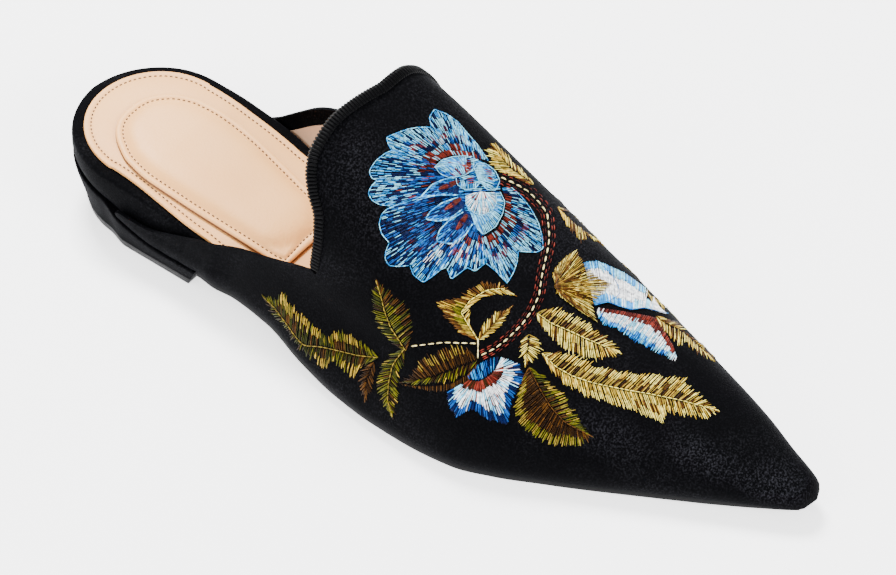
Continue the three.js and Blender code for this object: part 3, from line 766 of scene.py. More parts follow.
# Upper: black silk velvet over the vamp and low quarters, pulled over the last and turned in
# under the feather edge. Its pile is combed to the toe, and it holds a few soft drag creases at
# the quarters and over the flex line.
BINDING_DEPTH = 0.0035
EDGE_GAP = 0.00075
CAVITY_END = 0.261
VELVET_DEPTH = 0.00125
TOE_ROUND = 0.0025
TOE_AXIS = 0.4
CORNER_OUTER = 24.4
CORNER_INNER = 26
NOTCH = 0.4
ROWS = 170
ROW_SPREAD = 1.06
HALVINGS = 18
TOPLINE_OUTER = table("angle at", [
    (0, 0.1275), (2.2, 0.128), (3.4, 0.132), (4.6, 0.149), (5.8, 0.174), (7.8, 0.201),
    (11.2, 0.244), (13.2, 0.273), (16.4, 0.311), (18.4, 0.346), (22, 0.391),
    (CORNER_OUTER, 0.409), (31, 0.41), (37.5, 0.4055), (41.5, 0.392), (46, 0.3825),
    (52, 0.378), (61, 0.3785), (75, 0.384), (90, 0.391),
])
TOPLINE_INNER = table("angle at", [
    (0, 0.168), (5, 0.169), (7.5, 0.174), (11, 0.193), (16, 0.222), (20, 0.252), (22.5, 0.3),
    (24.5, 0.355), (CORNER_INNER, 0.4), (31, 0.405), (38, 0.404), (46, 0.399), (56, 0.393),
    (70, 0.391), (90, 0.391),
])
LINES = [
    0, 1.1, 2.2, 3.4, 4.6, 5.8, 7.2, 9, 11.2, 13.2, 16.4, 18.4, 20.5, 22.6,
    CORNER_OUTER, CORNER_OUTER + NOTCH, CORNER_INNER, CORNER_INNER + NOTCH,
    29, 33, 37.5, 41.5, 46, 51, 56, 61, 66, 71, 76, 81, 86,
]
CREASE_BOW = 0.004
CREASE_TAPER = 1.5
SWELL_PLACE = 1.9
SWELL_SHARE = 0.45
# Drag creases: place along the shoe and angle round it of each middle, its length and width in
# millimetres, the way it runs (0 along the shoe, 90 up the side) and its depth in millimetres.
CREASES = [
    (0.200, 6, 16, 2.2, 62, 0.35), (0.228, 7, 18, 2.4, 58, 0.4),
    (0.262, 9, 20, 2.6, 55, 0.4), (0.300, 10, 24, 3.0, 48, 0.45),
    (0.345, 12, 26, 3.2, 40, 0.4), (0.395, 13, 28, 3.6, 33, 0.4),
    (0.455, 15, 30, 4.0, 22, 0.35), (0.520, 20, 30, 4.5, 14, 0.3),
    (0.470, 34, 22, 4.0, 75, 0.3), (0.300, 172, 24, 3.0, 135, 0.4),
    (0.350, 170, 26, 3.2, 140, 0.4), (0.410, 168, 28, 3.6, 150, 0.35),
    (0.480, 163, 30, 4.2, 160, 0.35), (0.620, 120, 34, 6.0, 100, 0.25),
    (0.640, 60, 34, 6.0, 80, 0.25),
]


def skin(y, angle):
    """Outside of the upper, on the line that stands at this angle: 0 at the outer side of the
    sole, 90 at the ridge and 180 at the inner side. The toe is drawn in to a round tip."""
    y, angle = np.broadcast_arrays(np.asarray(y, float), np.asarray(angle, float))
    turn = np.radians(np.where(angle <= 90, angle, 180 - angle))
    at = y / LENGTH
    low = feather_z(y)
    full = ARCH["height"](at) * INSTEP_HEIGHT - low
    faces = {}
    for side in SIGN:
        square = ARCH["square_" + side](at)
        reach = (np.cos(turn) ** square + np.sin(turn) ** square) ** (-1 / square)
        rise = full * reach * np.sin(turn)
        faces[side] = np.stack([side_x(side, y, rise), y, low + rise], -1)
    shell = np.where((angle <= 90)[..., None], faces["outer"], faces["inner"])
    past = np.clip((y - LENGTH + TOE_ROUND) / TOE_ROUND, 0, 0.995)
    drawn = np.sqrt(1 - past**2)[..., None]
    axis = np.stack([ARCH["ridge"](at) * BALL_WIDTH, y, low + TOE_AXIS * full], -1)
    return mix(axis, shell, drawn)


def unit(ways):
    return ways / np.linalg.norm(ways, axis=-1, keepdims=True)


def skin_normal(y, angle):
    step = 5e-5
    y = np.minimum(y, LENGTH - TOE_ROUND - step)
    round_it = skin(y, np.minimum(angle + 0.05, 180)) - skin(y, np.maximum(angle - 0.05, 0))
    along = skin(y + step, angle) - skin(y - step, angle)
    return unit(np.cross(along, round_it))


def topline_y(angle):
    angle = np.asarray(angle, float)
    at = np.where(angle <= 90, TOPLINE_OUTER["at"](angle), TOPLINE_INNER["at"](180 - angle))
    return at * LENGTH


TONGUE_START = CORNER_OUTER
TONGUE_END = 180 - CORNER_INNER
tongue_angles = np.arange(TONGUE_START, TONGUE_END, 0.25)
tongue_edge = skin(topline_y(tongue_angles), tongue_angles)


def wall_y(angle):
    """Where the velvet starts: at the edge, or on the tongue behind the binding."""
    if not TONGUE_START + 0.1 < angle < TONGUE_END - 0.1:
        return float(topline_y(angle))
    near = float(topline_y(angle))
    far = near + 3 * BINDING_DEPTH
    for _ in range(HALVINGS):
        y = (near + far) / 2
        distance = np.linalg.norm(tongue_edge - skin(y, angle), axis=1).min()
        if distance < BINDING_DEPTH - EDGE_GAP:
            near = y
        else:
            far = y
    return far


def crease_depth(y, angle):
    """How deep the drag creases sink the velvet at a place."""
    per_degree = 0.05 * 1000 * math.pi / 180
    depth = np.zeros(np.broadcast(y, angle).shape)
    for at, middle, length, width, way, sink in CREASES:
        run = (y - at * LENGTH) * 1000
        up = (angle - middle) * per_degree
        turn = math.radians(way)
        along = run * math.cos(turn) + up * math.sin(turn)
        across = up * math.cos(turn) - run * math.sin(turn)
        bowed = across + CREASE_BOW * along**2
        body = np.exp(-((along / (length / 2)) ** 2) * CREASE_TAPER)
        fold = np.exp(-((bowed / width) ** 2))
        swell = np.exp(-(((bowed - SWELL_PLACE * width) / width) ** 2))
        depth += sink / 1000 * body * (fold - SWELL_SHARE * swell)
    return depth


def upper_lines():
    """Angles of the upper's lines from sole to sole, with two more between each pair of LINES."""
    half = np.array(LINES)
    coarse = np.concatenate([half, [90], 180 - half[::-1]])
    last = len(coarse) - 1
    return np.interp(np.linspace(0, last, 3 * last + 1), np.arange(last + 1), coarse)


def wall_face(angles, starts, end, depth, creased=False):
    """One face of the wall as a grid of rows from its edge to the toe, so deep in the wall."""
    share = np.linspace(0, 1, ROWS) ** ROW_SPREAD
    y = mix(starts[None, :], end, share[:, None])
    grid_angles = np.broadcast_to(angles[None, :], y.shape)
    points = skin(y, grid_angles)
    sunk = depth + (crease_depth(y, grid_angles) if creased else 0)
    normals = skin_normal(y, grid_angles)
    level = (grid_angles == 0) | (grid_angles == 180)
    flat = np.stack([np.sign(90 - grid_angles), np.zeros_like(y), np.zeros_like(y)], -1)
    normals = np.where(level[..., None], flat, normals)
    return points - normals * np.asarray(sunk)[..., None]


def shell(outer, inner):
    """Points and faces of a closed wall between two grids that share their edge, sole and toe."""
    rows, columns, _ = outer.shape
    size = rows * columns
    points = np.concatenate([outer.reshape(-1, 3), inner.reshape(-1, 3)])
    faces = []
    for first in (0, size):
        for i in range(rows - 1):
            for a in range(first + i * columns, first + (i + 1) * columns - 1):
                faces.append((a, a + 1, a + columns + 1, a + columns))
    for i in range(rows - 1):
        for a in (i * columns, (i + 1) * columns - 1):
            faces.append((a, a + columns, a + columns + size, a + size))
    for j in range(columns - 1):
        faces.append((j, j + 1, j + 1 + size, j + size))
    last = (rows - 1) * columns
    faces.append((last, last + columns - 1, last + columns - 1 + size, last + size))
    for first in (last, size + last):
        hub = len(points)
        points = np.concatenate([points, [points[first : first + columns].mean(axis=0)]])
        for j in range(columns):
            faces.append((first + j, first + (j + 1) % columns, hub))
    return points, faces


upper_angles = upper_lines()
upper_starts = np.array([wall_y(angle) for angle in upper_angles])


def make_upper():
    outer = wall_face(upper_angles, upper_starts, LENGTH, 0, creased=True)
    inner = wall_face(upper_angles, upper_starts, CAVITY_END, VELVET_DEPTH)
    points, faces = shell(outer, inner)
    upper = piece("vamp_velvet", points, faces, velvet("vamp_velvet"), sharp=50)
    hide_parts("upper")
    return upper


vamp = make_upper()


# Lining: tan leather glued inside the velvet. Along the quarters it is cut short, so that the
# turned-in velvet shows as a black band under their edge.
LINING_SHORT = 0.0010
LINING_DROP = 4.6
LINING_TOE = 0.0008
GLUE = 0.00003
LINING_LIGHT = (0.60, 0.38, 0.24, 1)
LINING_DEEP = (0.47, 0.28, 0.17, 1)


def lining_start(angle, start):
    """Where the lining starts: some degrees under the quarter's edge, close to it on the tongue."""
    low = min(angle, 180 - angle)
    corner = CORNER_OUTER if angle < 90 else CORNER_INNER
    if low >= corner:
        return start + LINING_SHORT
    dropped = min(low + LINING_DROP, corner)
    return float(topline_y(dropped if angle < 90 else 180 - dropped)) + LINING_SHORT


def make_lining():
    starts = np.array([lining_start(*line) for line in zip(upper_angles, upper_starts)])
    outer = wall_face(upper_angles, starts, CAVITY_END, VELVET_DEPTH + GLUE)
    inner = wall_face(upper_angles, starts, CAVITY_END - LINING_TOE, WALL)
    points, faces = shell(outer, inner)
    finish = leather("lining_leather", LINING_LIGHT, LINING_DEEP, polish=0.55)
    piece("lining", points, faces, finish, sharp=50)


make_lining()


# Binding: black grosgrain ribbon folded over the tongue's raw edge from corner to corner and
# sewn down near the velvet. Its ribs run across it, one for each weft cord.
BINDING_PROUD = 0.0005
BINDING_SHORT = 0.7
# Its section from the free edge to the fold: shares of the ribbon's depth and of its height.
BINDING_FLANK = [(1, 0.55), (0.93, 1), (0.62, 1)]
RIB_PITCH = 0.00118
RIB_STATIONS = 6
RIB_HEIGHT = 0.00042
GROSGRAIN = (0.0002, 0.0002, 0.0004, 1)
GROSGRAIN_LIT = (0.0015, 0.0015, 0.002, 1)


def grosgrain():
    """Tightly woven ribbon with a dull silk lustre on its ribs."""
    finish = Finish("grosgrain", {"Specular IOR Level": 0.045})
    weave = finish.noise(0.0004, detail=2.0)
    finish.feed("Base Color", finish.blend(finish.steps(weave, 0.35, 0.7), GROSGRAIN, GROSGRAIN_LIT))
    finish.feed("Roughness", 0.36 + 0.2 * weave)
    finish.relief(weave, depth=0.0001, strength=0.5)
    return finish


def make_binding():
    first = CORNER_OUTER + BINDING_SHORT
    last = 180 - CORNER_INNER - BINDING_SHORT
    dense = np.linspace(first, last, 1500)
    edge = skin(topline_y(dense), dense)
    run = np.concatenate([[0], np.cumsum(np.linalg.norm(np.diff(edge, axis=0), axis=1))])
    ribs = int(run[-1] / RIB_PITCH)
    stations = np.linspace(0, run[-1], ribs * RIB_STATIONS + 1)
    angles = np.interp(stations, run, dense)
    point = skin(topline_y(angles), angles)
    behind = np.maximum(angles - 1, first - 0.6)
    ahead = np.minimum(angles + 1, last + 0.6)
    along = unit(skin(topline_y(ahead), ahead) - skin(topline_y(behind), behind))
    out = skin_normal(topline_y(angles), angles)
    into = unit(np.cross(out, along))
    into *= np.sign(into[:, 1:2])
    rib = RIB_HEIGHT * np.abs(np.sin(np.pi * stations / stations[-1] * ribs)) ** 0.6
    proud = BINDING_PROUD - 0.5 * RIB_HEIGHT
    half = proud + WALL / 2
    middle = -WALL / 2
    turn = np.radians(np.linspace(90, 270, 11))
    section = [(BINDING_DEPTH * depth, proud * height) for depth, height in BINDING_FLANK]
    section += [(half * 0.8 * (1 + math.cos(a)), middle + half * math.sin(a)) for a in turn]
    for depth, height in BINDING_FLANK[::-1]:
        section.append((BINDING_DEPTH * depth, -WALL - proud * height))
    lines = []
    for depth, height in section:
        lifted = height + np.sign(height - middle) * rib
        sunk = depth - rib * (abs(height - middle) < half * 0.5)
        lines.append((point + into * sunk[:, None] + out * lifted[:, None]).T)
    ribbon = lofted("binding_grosgrain", lines, grosgrain(), sharp=70)
    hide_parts("throat_binding")


make_binding()


# Embroidery: a traditional spray of one large and one small flower, a bud, a twisted stem and
# feathered leaves, worked on the velvet in rayon thread before the vamp was lasted. Every stitch
# is a thread of its own that dips into the pile at both ends. The drawing is laid out in pixels
# of the photograph and projected on the vamp along the sight below.
EYE = Vector((0.6454, 0.4584, 0.7996))
SIGHT_AZIMUTH = math.radians(125.971)
SIGHT_ELEVATION = math.radians(44.27)
SIGHT_ROLL = math.radians(1.0)
SIGHT_PIXEL = (337.27, 331.61)
FOCAL_PIXELS = 3589.05
THREAD_WIDTH = 0.00029
THREAD_RISE = 0.00022
THREAD_LAYER = 0.00013
THREAD_STATIONS = 6
THREAD_DIP = 0.00018
THREAD_TANGLE = 0.00005
LONGEST_STITCH = 0.02
GRAZING = -0.03
# How rows of stitches stray from even, as shares of a row's step, of a row and of a stroke. The
# shortest row is in pixels.
ROW_WANDER = 0.25
CROWDED_LINE = 0.55
HALF_ROW = (0.35, 0.5)
SHORTEST_ROW = 1.2
STROKE_WANDER = 0.3
STROKE_SLIP = 0.12
STROKE_OVERLAP = (0.1, 0.12)
LIGHT_DYE = 1.15
DARK_DYE = 0.55
LUSTRE_DYE = 0.4
SPOOLS = {
    "ice": (130, 212, 244),
    "sky": (38, 142, 214),
    "blue": (10, 78, 160),
    "deep": (3, 15, 58),
    "white": (240, 244, 250),
    "red": (128, 42, 30),
    "rust": (70, 16, 10),
    "pale_gold": (243, 222, 108),
    "gold": (204, 166, 50),
    "straw": (148, 124, 40),
    "olive": (98, 96, 12),
    "moss": (48, 52, 8),
    "brown": (86, 52, 14),
    "umber": (38, 20, 3),
    "cream": (244, 222, 150),
}
random.seed(29)


def thread_finish(name, colour):
    """Rayon thread: a bright lustre on a dyed colour that varies a little from stitch to stitch."""
    dyed = [((value / 255 + 0.055) / 1.055) ** 2.4 for value in colour]  # to linear light
    light = (*(min(1, value * LIGHT_DYE) for value in dyed), 1)
    dark = (*(value * DARK_DYE for value in dyed), 1)
    lustre = (*(value**LUSTRE_DYE for value in dyed), 1)
    finish = Finish("thread_" + name, {"Specular IOR Level": 0.5, "Specular Tint": lustre})
    share = finish.steps(finish.noise(0.0011, detail=2.0), 0.35, 0.65)
    finish.feed("Base Color", finish.blend(share, dark, light))
    finish.feed("Roughness", 0.38 + 0.15 * share)
    return finish


threads_on_hand = {name: thread_finish(name, colour) for name, colour in SPOOLS.items()}


def sight_axes():
    """Right, up and back of the photograph's view."""
    back = Vector((
        math.sin(SIGHT_AZIMUTH) * math.cos(SIGHT_ELEVATION),
        -math.cos(SIGHT_AZIMUTH) * math.cos(SIGHT_ELEVATION),
        math.sin(SIGHT_ELEVATION),
    ))
    level = Vector((math.cos(SIGHT_AZIMUTH), math.sin(SIGHT_AZIMUTH), 0))
    upright = back.cross(level)
    right = level * math.cos(SIGHT_ROLL) + upright * math.sin(SIGHT_ROLL)
    up = upright * math.cos(SIGHT_ROLL) - level * math.sin(SIGHT_ROLL)
    return right, up, back


def sight_ray(pixel):
    """Way from the eye through a pixel of the photograph."""
    right, up, back = sight_axes()
    x = (pixel[0] - SIGHT_PIXEL[0]) / FOCAL_PIXELS
    y = (pixel[1] - SIGHT_PIXEL[1]) / FOCAL_PIXELS
    return (right * x - up * y - back).normalized()


def path(points, shares):
    """Points at shares of a drawn line's length."""
    points = np.array(points, float)
    run = np.concatenate([[0], np.cumsum(np.hypot(*np.diff(points, axis=0).T))])
    at = np.clip(shares, 0, 1) * run[-1]
    return np.stack([np.interp(at, run, points[:, axis]) for axis in (0, 1)], -1)


def drawn_length(points):
    return float(np.hypot(*np.diff(np.array(points, float), axis=0).T).sum())


def pick(shades, share):
    """A spool for a place between 0 and 1, from (limit, spools) pairs: one of the spools by chance."""
    for limit, spools in shades:
        if share <= limit:
            return random.choice(spools.split())
    return random.choice(shades[-1][1].split())


def comb(inner, outer, shades, layer=0, pitch=1.8, stroke=9.0, lead=0.0, fray=1.2, width=1.0):
    """Rows of stitches from an inner line to an outer line, the outer ends frayed by some pixels.
    A row runs lead pixels ahead to the line's end, and is worked in several strokes if it is long.
    Where the inner line is much the shorter, every second row stops half way."""
    rows = max(2, int(max(drawn_length(inner), drawn_length(outer)) / pitch))
    crowded = drawn_length(inner) < CROWDED_LINE * drawn_length(outer)
    stitches = []
    for row in range(rows + 1):
        share = row / rows + random.uniform(-ROW_WANDER, ROW_WANDER) / rows
        start = path(inner, [share])[0]
        end = path(outer, [share + lead / drawn_length(outer)])[0]
        if crowded and row % 2:
            start = mix(start, end, random.uniform(*HALF_ROW))
        reach = np.hypot(*(end - start))
        if reach < SHORTEST_ROW:
            continue
        end = end + (end - start) / reach * random.uniform(-fray, fray)
        count = max(1, round(reach / stroke + random.uniform(-STROKE_WANDER, STROKE_WANDER)))
        slip = random.uniform(-STROKE_SLIP, STROKE_SLIP) / count
        back, ahead = (overlap / count for overlap in STROKE_OVERLAP)
        for part in range(count):
            low = 0 if part == 0 else part / count + slip - back
            high = 1 if part == count - 1 else (part + 1) / count + slip + ahead
            spool = pick(shades, (low + high) / 2)
            stitches.append((*mix(start, end, low), *mix(start, end, high), spool, layer, width))
    return stitches


def leaf(vein, first, second, first_shades, second_shades, line):
    """A feathered leaf: rows slanted to the tip on both sides of the vein, whose ends are those of
    both edges too. It may have a line of stitches on the vein."""
    stitches = []
    for side, shades in ((first, first_shades), (second, second_shades)):
        edge = [vein[0], *side, vein[-1]]
        stitches += comb(vein, edge, shades, 0, pitch=2.3, stroke=10, lead=8, fray=2.4, width=0.95)
        stitches += comb(vein, edge, shades, 1, pitch=5.2, stroke=10, lead=10, fray=3.0, width=0.85)
    if line:
        stitches += dashes(vein, line, layer=2, stroke=5.0, pause=0.4, width=1.0)
    return stitches


def dashes(line, spools, layer=1, stroke=4.0, pause=0.6, width=0.9, shift=0.0, narrow=1.0):
    """Stitches along a drawn line, one behind the other, beside it by shift pixels, which come to
    a share of that at its end."""
    length = drawn_length(line)
    count = max(1, int(length / (stroke + pause)))
    stitches = []
    for i in range(count):
        low, high = path(line, [i / count, (i + stroke / (stroke + pause)) / count])
        way = high - low
        beside = mix(shift, shift * narrow, i / count)
        side = np.array([-way[1], way[0]]) / max(np.hypot(*way), 1e-6) * beside
        spool = random.choice(spools.split())
        stitches.append((*(low + side), *(high + side), spool, layer, width))
    return stitches


def outline(points, spools="ice", layer=2, closed=True, width=0.75):
    """Short overlapping stitches along a drawn line, back to its start if it is closed."""
    line = points + points[:1] if closed else points
    return dashes(line, spools, layer, stroke=3.2, pause=-0.6, width=width)


def stitched(name, stitches, eye, ray_of):
    """Works a drawing on the vamp: projects each stitch and makes one mesh of all its threads."""
    shares = np.linspace(0, 1, THREAD_STATIONS)
    ordered = sorted(stitches, key=lambda stitch: stitch[4])
    paths, normals, widths, lifts, used = [], [], [], [], []
    for x0, y0, x1, y1, spool, layer, width in ordered:
        hits = []
        for share in shares:
            ray = ray_of((mix(x0, x1, share), mix(y0, y1, share)))
            place, normal, _, _ = vamp_cloth.ray_cast(eye, ray)
            if place is None or normal.dot(ray_of((x0, y0))) > GRAZING:
                break
            hits.append((place, normal))
        if len(hits) < THREAD_STATIONS or (hits[0][0] - hits[-1][0]).length > LONGEST_STITCH:
            continue
        paths.append([hit[0] for hit in hits])
        normals.append([hit[1] for hit in hits])
        widths.append(THREAD_WIDTH * width * random.uniform(0.85, 1.15))
        lifts.append(THREAD_LAYER * layer + random.uniform(0, THREAD_TANGLE))
        used.append(spool)
    paths = np.array(paths) - HEEL_BACK
    normals = np.array(normals)
    widths = np.array(widths)
    bulge = THREAD_RISE * np.sin(np.pi * shares) ** 0.5 - THREAD_DIP
    paths += normals * (bulge[None, :, None] + np.array(lifts)[:, None, None])
    points, faces = threads(paths, normals, widths, widths * 0.5)
    mesh = bpy.data.meshes.new(name)
    mesh.from_pydata((points + HEEL_BACK).tolist(), [], faces)
    mesh.shade_smooth()
    spools = sorted(set(used))
    for spool in spools:
        mesh.materials.append(threads_on_hand[spool].material)
    spool_of_faces = np.repeat([spools.index(spool) for spool in used], len(faces) // len(used))
    mesh.polygons.foreach_set("material_index", spool_of_faces)
    made = linked(name, mesh)
    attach(made, "root")


SKY = [
    (0.26, "red red rust ice"), (0.45, "sky blue ice deep deep"), (0.75, "sky ice ice deep"),
    (1, "ice ice sky deep"),
]
MIDDLE = [
    (0.25, "deep blue"), (0.42, "red rust deep blue"), (0.8, "sky deep deep ice"),
    (1, "sky deep sky ice"),
]
DEEP = [
    (0.4, "deep blue deep"), (0.5, "deep rust blue"), (0.75, "deep blue sky deep deep deep"),
    (1, "deep blue ice deep deep"),
]
LOWER = [
    (0.25, "deep blue"), (0.42, "red deep ice"), (0.7, "blue sky white deep deep"),
    (1, "sky blue ice deep"),
]
HEART = [(0.4, "blue deep sky"), (1, "sky blue ice deep")]
FLORET = [(0.5, "deep"), (1, "blue deep sky")]
# Petals: inner line, outer line and shades.
PETALS = [
    ([(385, 217), (404, 221), (418, 222)],
     [(363, 188), (361, 179), (366, 171), (379, 176), (390, 184), (399, 195), (408, 205),
      (420, 222)], SKY),
    ([(367, 224), (376, 220), (385, 217)],
     [(323, 211), (320, 206), (318, 199), (328, 195), (339, 191), (350, 189), (363, 189)], SKY),
    ([(391, 239), (388, 236), (384, 230)],
     [(309, 242), (304, 240), (301, 234), (303, 229), (308, 222), (317, 215), (326, 211)], MIDDLE),
    ([(394, 250), (393, 245), (391, 240)],
     [(325, 268), (311, 266), (304, 262), (300, 255), (303, 248), (309, 242)], MIDDLE),
    ([(397, 262), (396, 256), (394, 251)],
     [(321, 304), (314, 296), (311, 286), (313, 277), (318, 271), (326, 268)], DEEP),
    ([(400, 273), (398, 268), (397, 263)],
     [(341, 327), (330, 328), (321, 327), (317, 320), (318, 312), (321, 305)], DEEP),
    ([(406, 282), (403, 278), (400, 274)],
     [(378, 329), (373, 331), (363, 339), (355, 344), (345, 336), (342, 327)], LOWER),
    ([(415, 290), (410, 287), (406, 283)],
     [(417, 325), (407, 333), (399, 329), (391, 335), (383, 341), (379, 330)], LOWER),
    ([(428, 291), (420, 296), (412, 299)],
     [(450, 313), (449, 324), (445, 335), (439, 345), (428, 333), (418, 325)], SKY),
    ([(433, 250), (437, 262), (436, 276), (429, 290)],
     [(443, 249), (453, 258), (463, 271), (470, 284), (474, 298), (475, 310), (469, 314),
      (450, 313)], SKY),
]
FLORETS = [
    ([(392, 240), (392, 250), (391, 257)],
     [(386, 240), (376, 241), (364, 246), (352, 259), (371, 257), (390, 257)]),
    ([(392, 258), (396, 264), (397, 270)],
     [(390, 259), (373, 265), (362, 273), (357, 281), (370, 283), (381, 281), (394, 271)]),
    ([(397, 272), (402, 275), (405, 278)],
     [(395, 274), (381, 282), (371, 292), (368, 303), (383, 306), (397, 297), (404, 286)]),
]
FLORET_EYES = [[(391, 243), (370, 251)], [(393, 260), (376, 272)], [(399, 276), (388, 292)]]
HEART_LEFT = [(368, 226), (372, 240), (386, 252), (394, 268), (402, 286)]
HEART_RIGHT = [(404, 217), (424, 228), (433, 244), (434, 266), (414, 294)]
LEFT_CUP = [(366, 229), (373, 222), (384, 219), (397, 218), (405, 222), (404, 232), (395, 238),
            (380, 240), (371, 236)]
CUP_LOOP = [(387, 240), (388, 247), (396, 252), (406, 251), (411, 245)]
RIGHT_CUP = [(405, 230), (409, 225), (417, 226), (426, 233), (431, 243), (427, 253), (418, 252),
             (410, 243)]
FAN_CUP = [(397, 258), (397, 266), (403, 274), (412, 278), (423, 274), (428, 265), (427, 255)]
RING = [(431, 254), (436, 264), (434, 276), (427, 289), (415, 297), (408, 290), (405, 278)]
# Fillings of the cups in the flower's heart: both lines, shades, layer, pitch and fray.
CUPS = [
    ([(404, 226), (400, 236), (388, 239)], LEFT_CUP[:4] + LEFT_CUP[:1],
     [(0.4, "ice red"), (1, "sky ice")], 2, 1.8, 0),
    ([(403, 223), (403, 232)], [(397, 222), (397, 233)], [(1, "red rust")], 4, 1.8, 1.2),
    ([(406, 238), (406, 245)], [(398, 239), (399, 246)], [(1, "red red ice")], 4, 1.8, 1.2),
    ([(392, 241), (407, 244)], [(394, 251), (407, 251)], [(1, "sky ice")], 2, 1.8, 0),
    ([(409, 226), (406, 233), (411, 244)], [(418, 227), (428, 236), (425, 252)],
     [(0.4, "ice"), (1, "ice sky")], 2, 1.8, 0),
    ([(416, 231), (419, 241)], [(424, 234), (426, 243)], [(1, "red ice red")], 4, 2.0, 1.2),
    ([(409, 254), (413, 253), (419, 254)], FAN_CUP,
     [(0.45, "white red ice"), (1, "white ice")], 2, 1.9, 0),
    (FAN_CUP[:0:-1], RING, [(0.5, "sky ice"), (1, "ice sky")], 2, 1.8, 0),
]


def petals_and_florets(petals, florets, eyes):
    """Wide petals worked from the heart out, and on them narrow ones with a dark eye."""
    stitches = []
    for inner, outer, shades in petals:
        stitches += comb(inner, outer, shades, 0, pitch=1.7, stroke=7.5, fray=1.2, width=0.8)
        stitches += outline(outer, "sky ice", layer=1, closed=False, width=1.0)
    for inner, outer in florets:
        stitches += comb(inner, outer, FLORET, 1, stroke=6, fray=0.3, width=1.1)
        stitches += outline(outer, "ice sky", layer=3, closed=False, width=1.5)
    for near, far in eyes:
        middle = mix(np.array(near), np.array(far), 0.5)
        across = np.array([near[1] - far[1], far[0] - near[0]]) / drawn_length([near, far])
        for turn in (-2.4, -1.2, 0, 1.2, 2.4):
            side = across * turn
            spool = random.choice(["red", "rust"])
            stitches.append((*(near + side * 0.4), *(middle + side), "rust", 3, 1.2))
            stitches.append((*(middle + side), *(far + side * 0.3), spool, 3, 1.1))
    return stitches


def large_flower():
    stitches = comb(HEART_LEFT, HEART_RIGHT, HEART, 0, fray=0)
    stitches += petals_and_florets(PETALS, FLORETS, FLORET_EYES)
    for inner, outer, shades, layer, pitch, fray in CUPS:
        stitches += comb(inner, outer, shades, layer, pitch, fray=fray)
    for line in (LEFT_CUP, RIGHT_CUP):
        stitches += outline(line, layer=5)
    for line in (CUP_LOOP, FAN_CUP, RING):
        stitches += outline(line, layer=5, closed=False)
    return stitches


GILT = [
    (0.35, "umber brown straw gold"), (0.7, "gold pale_gold straw brown"),
    (1, "gold pale_gold pale_gold"),
]
GREEN_GILT = [(0.4, "umber moss moss brown"), (0.7, "olive umber moss"), (1, "straw olive gold")]
BRIGHT = [(0.3, "pale_gold gold straw"), (0.7, "pale_gold gold brown"), (1, "pale_gold gold pale_gold")]
BROWN = [(0.5, "umber umber brown"), (1, "brown umber straw")]
DARK = [(1, "umber brown")]
SHADED = [(0.45, "olive straw moss"), (0.8, "brown umber moss"), (1, "brown umber")]
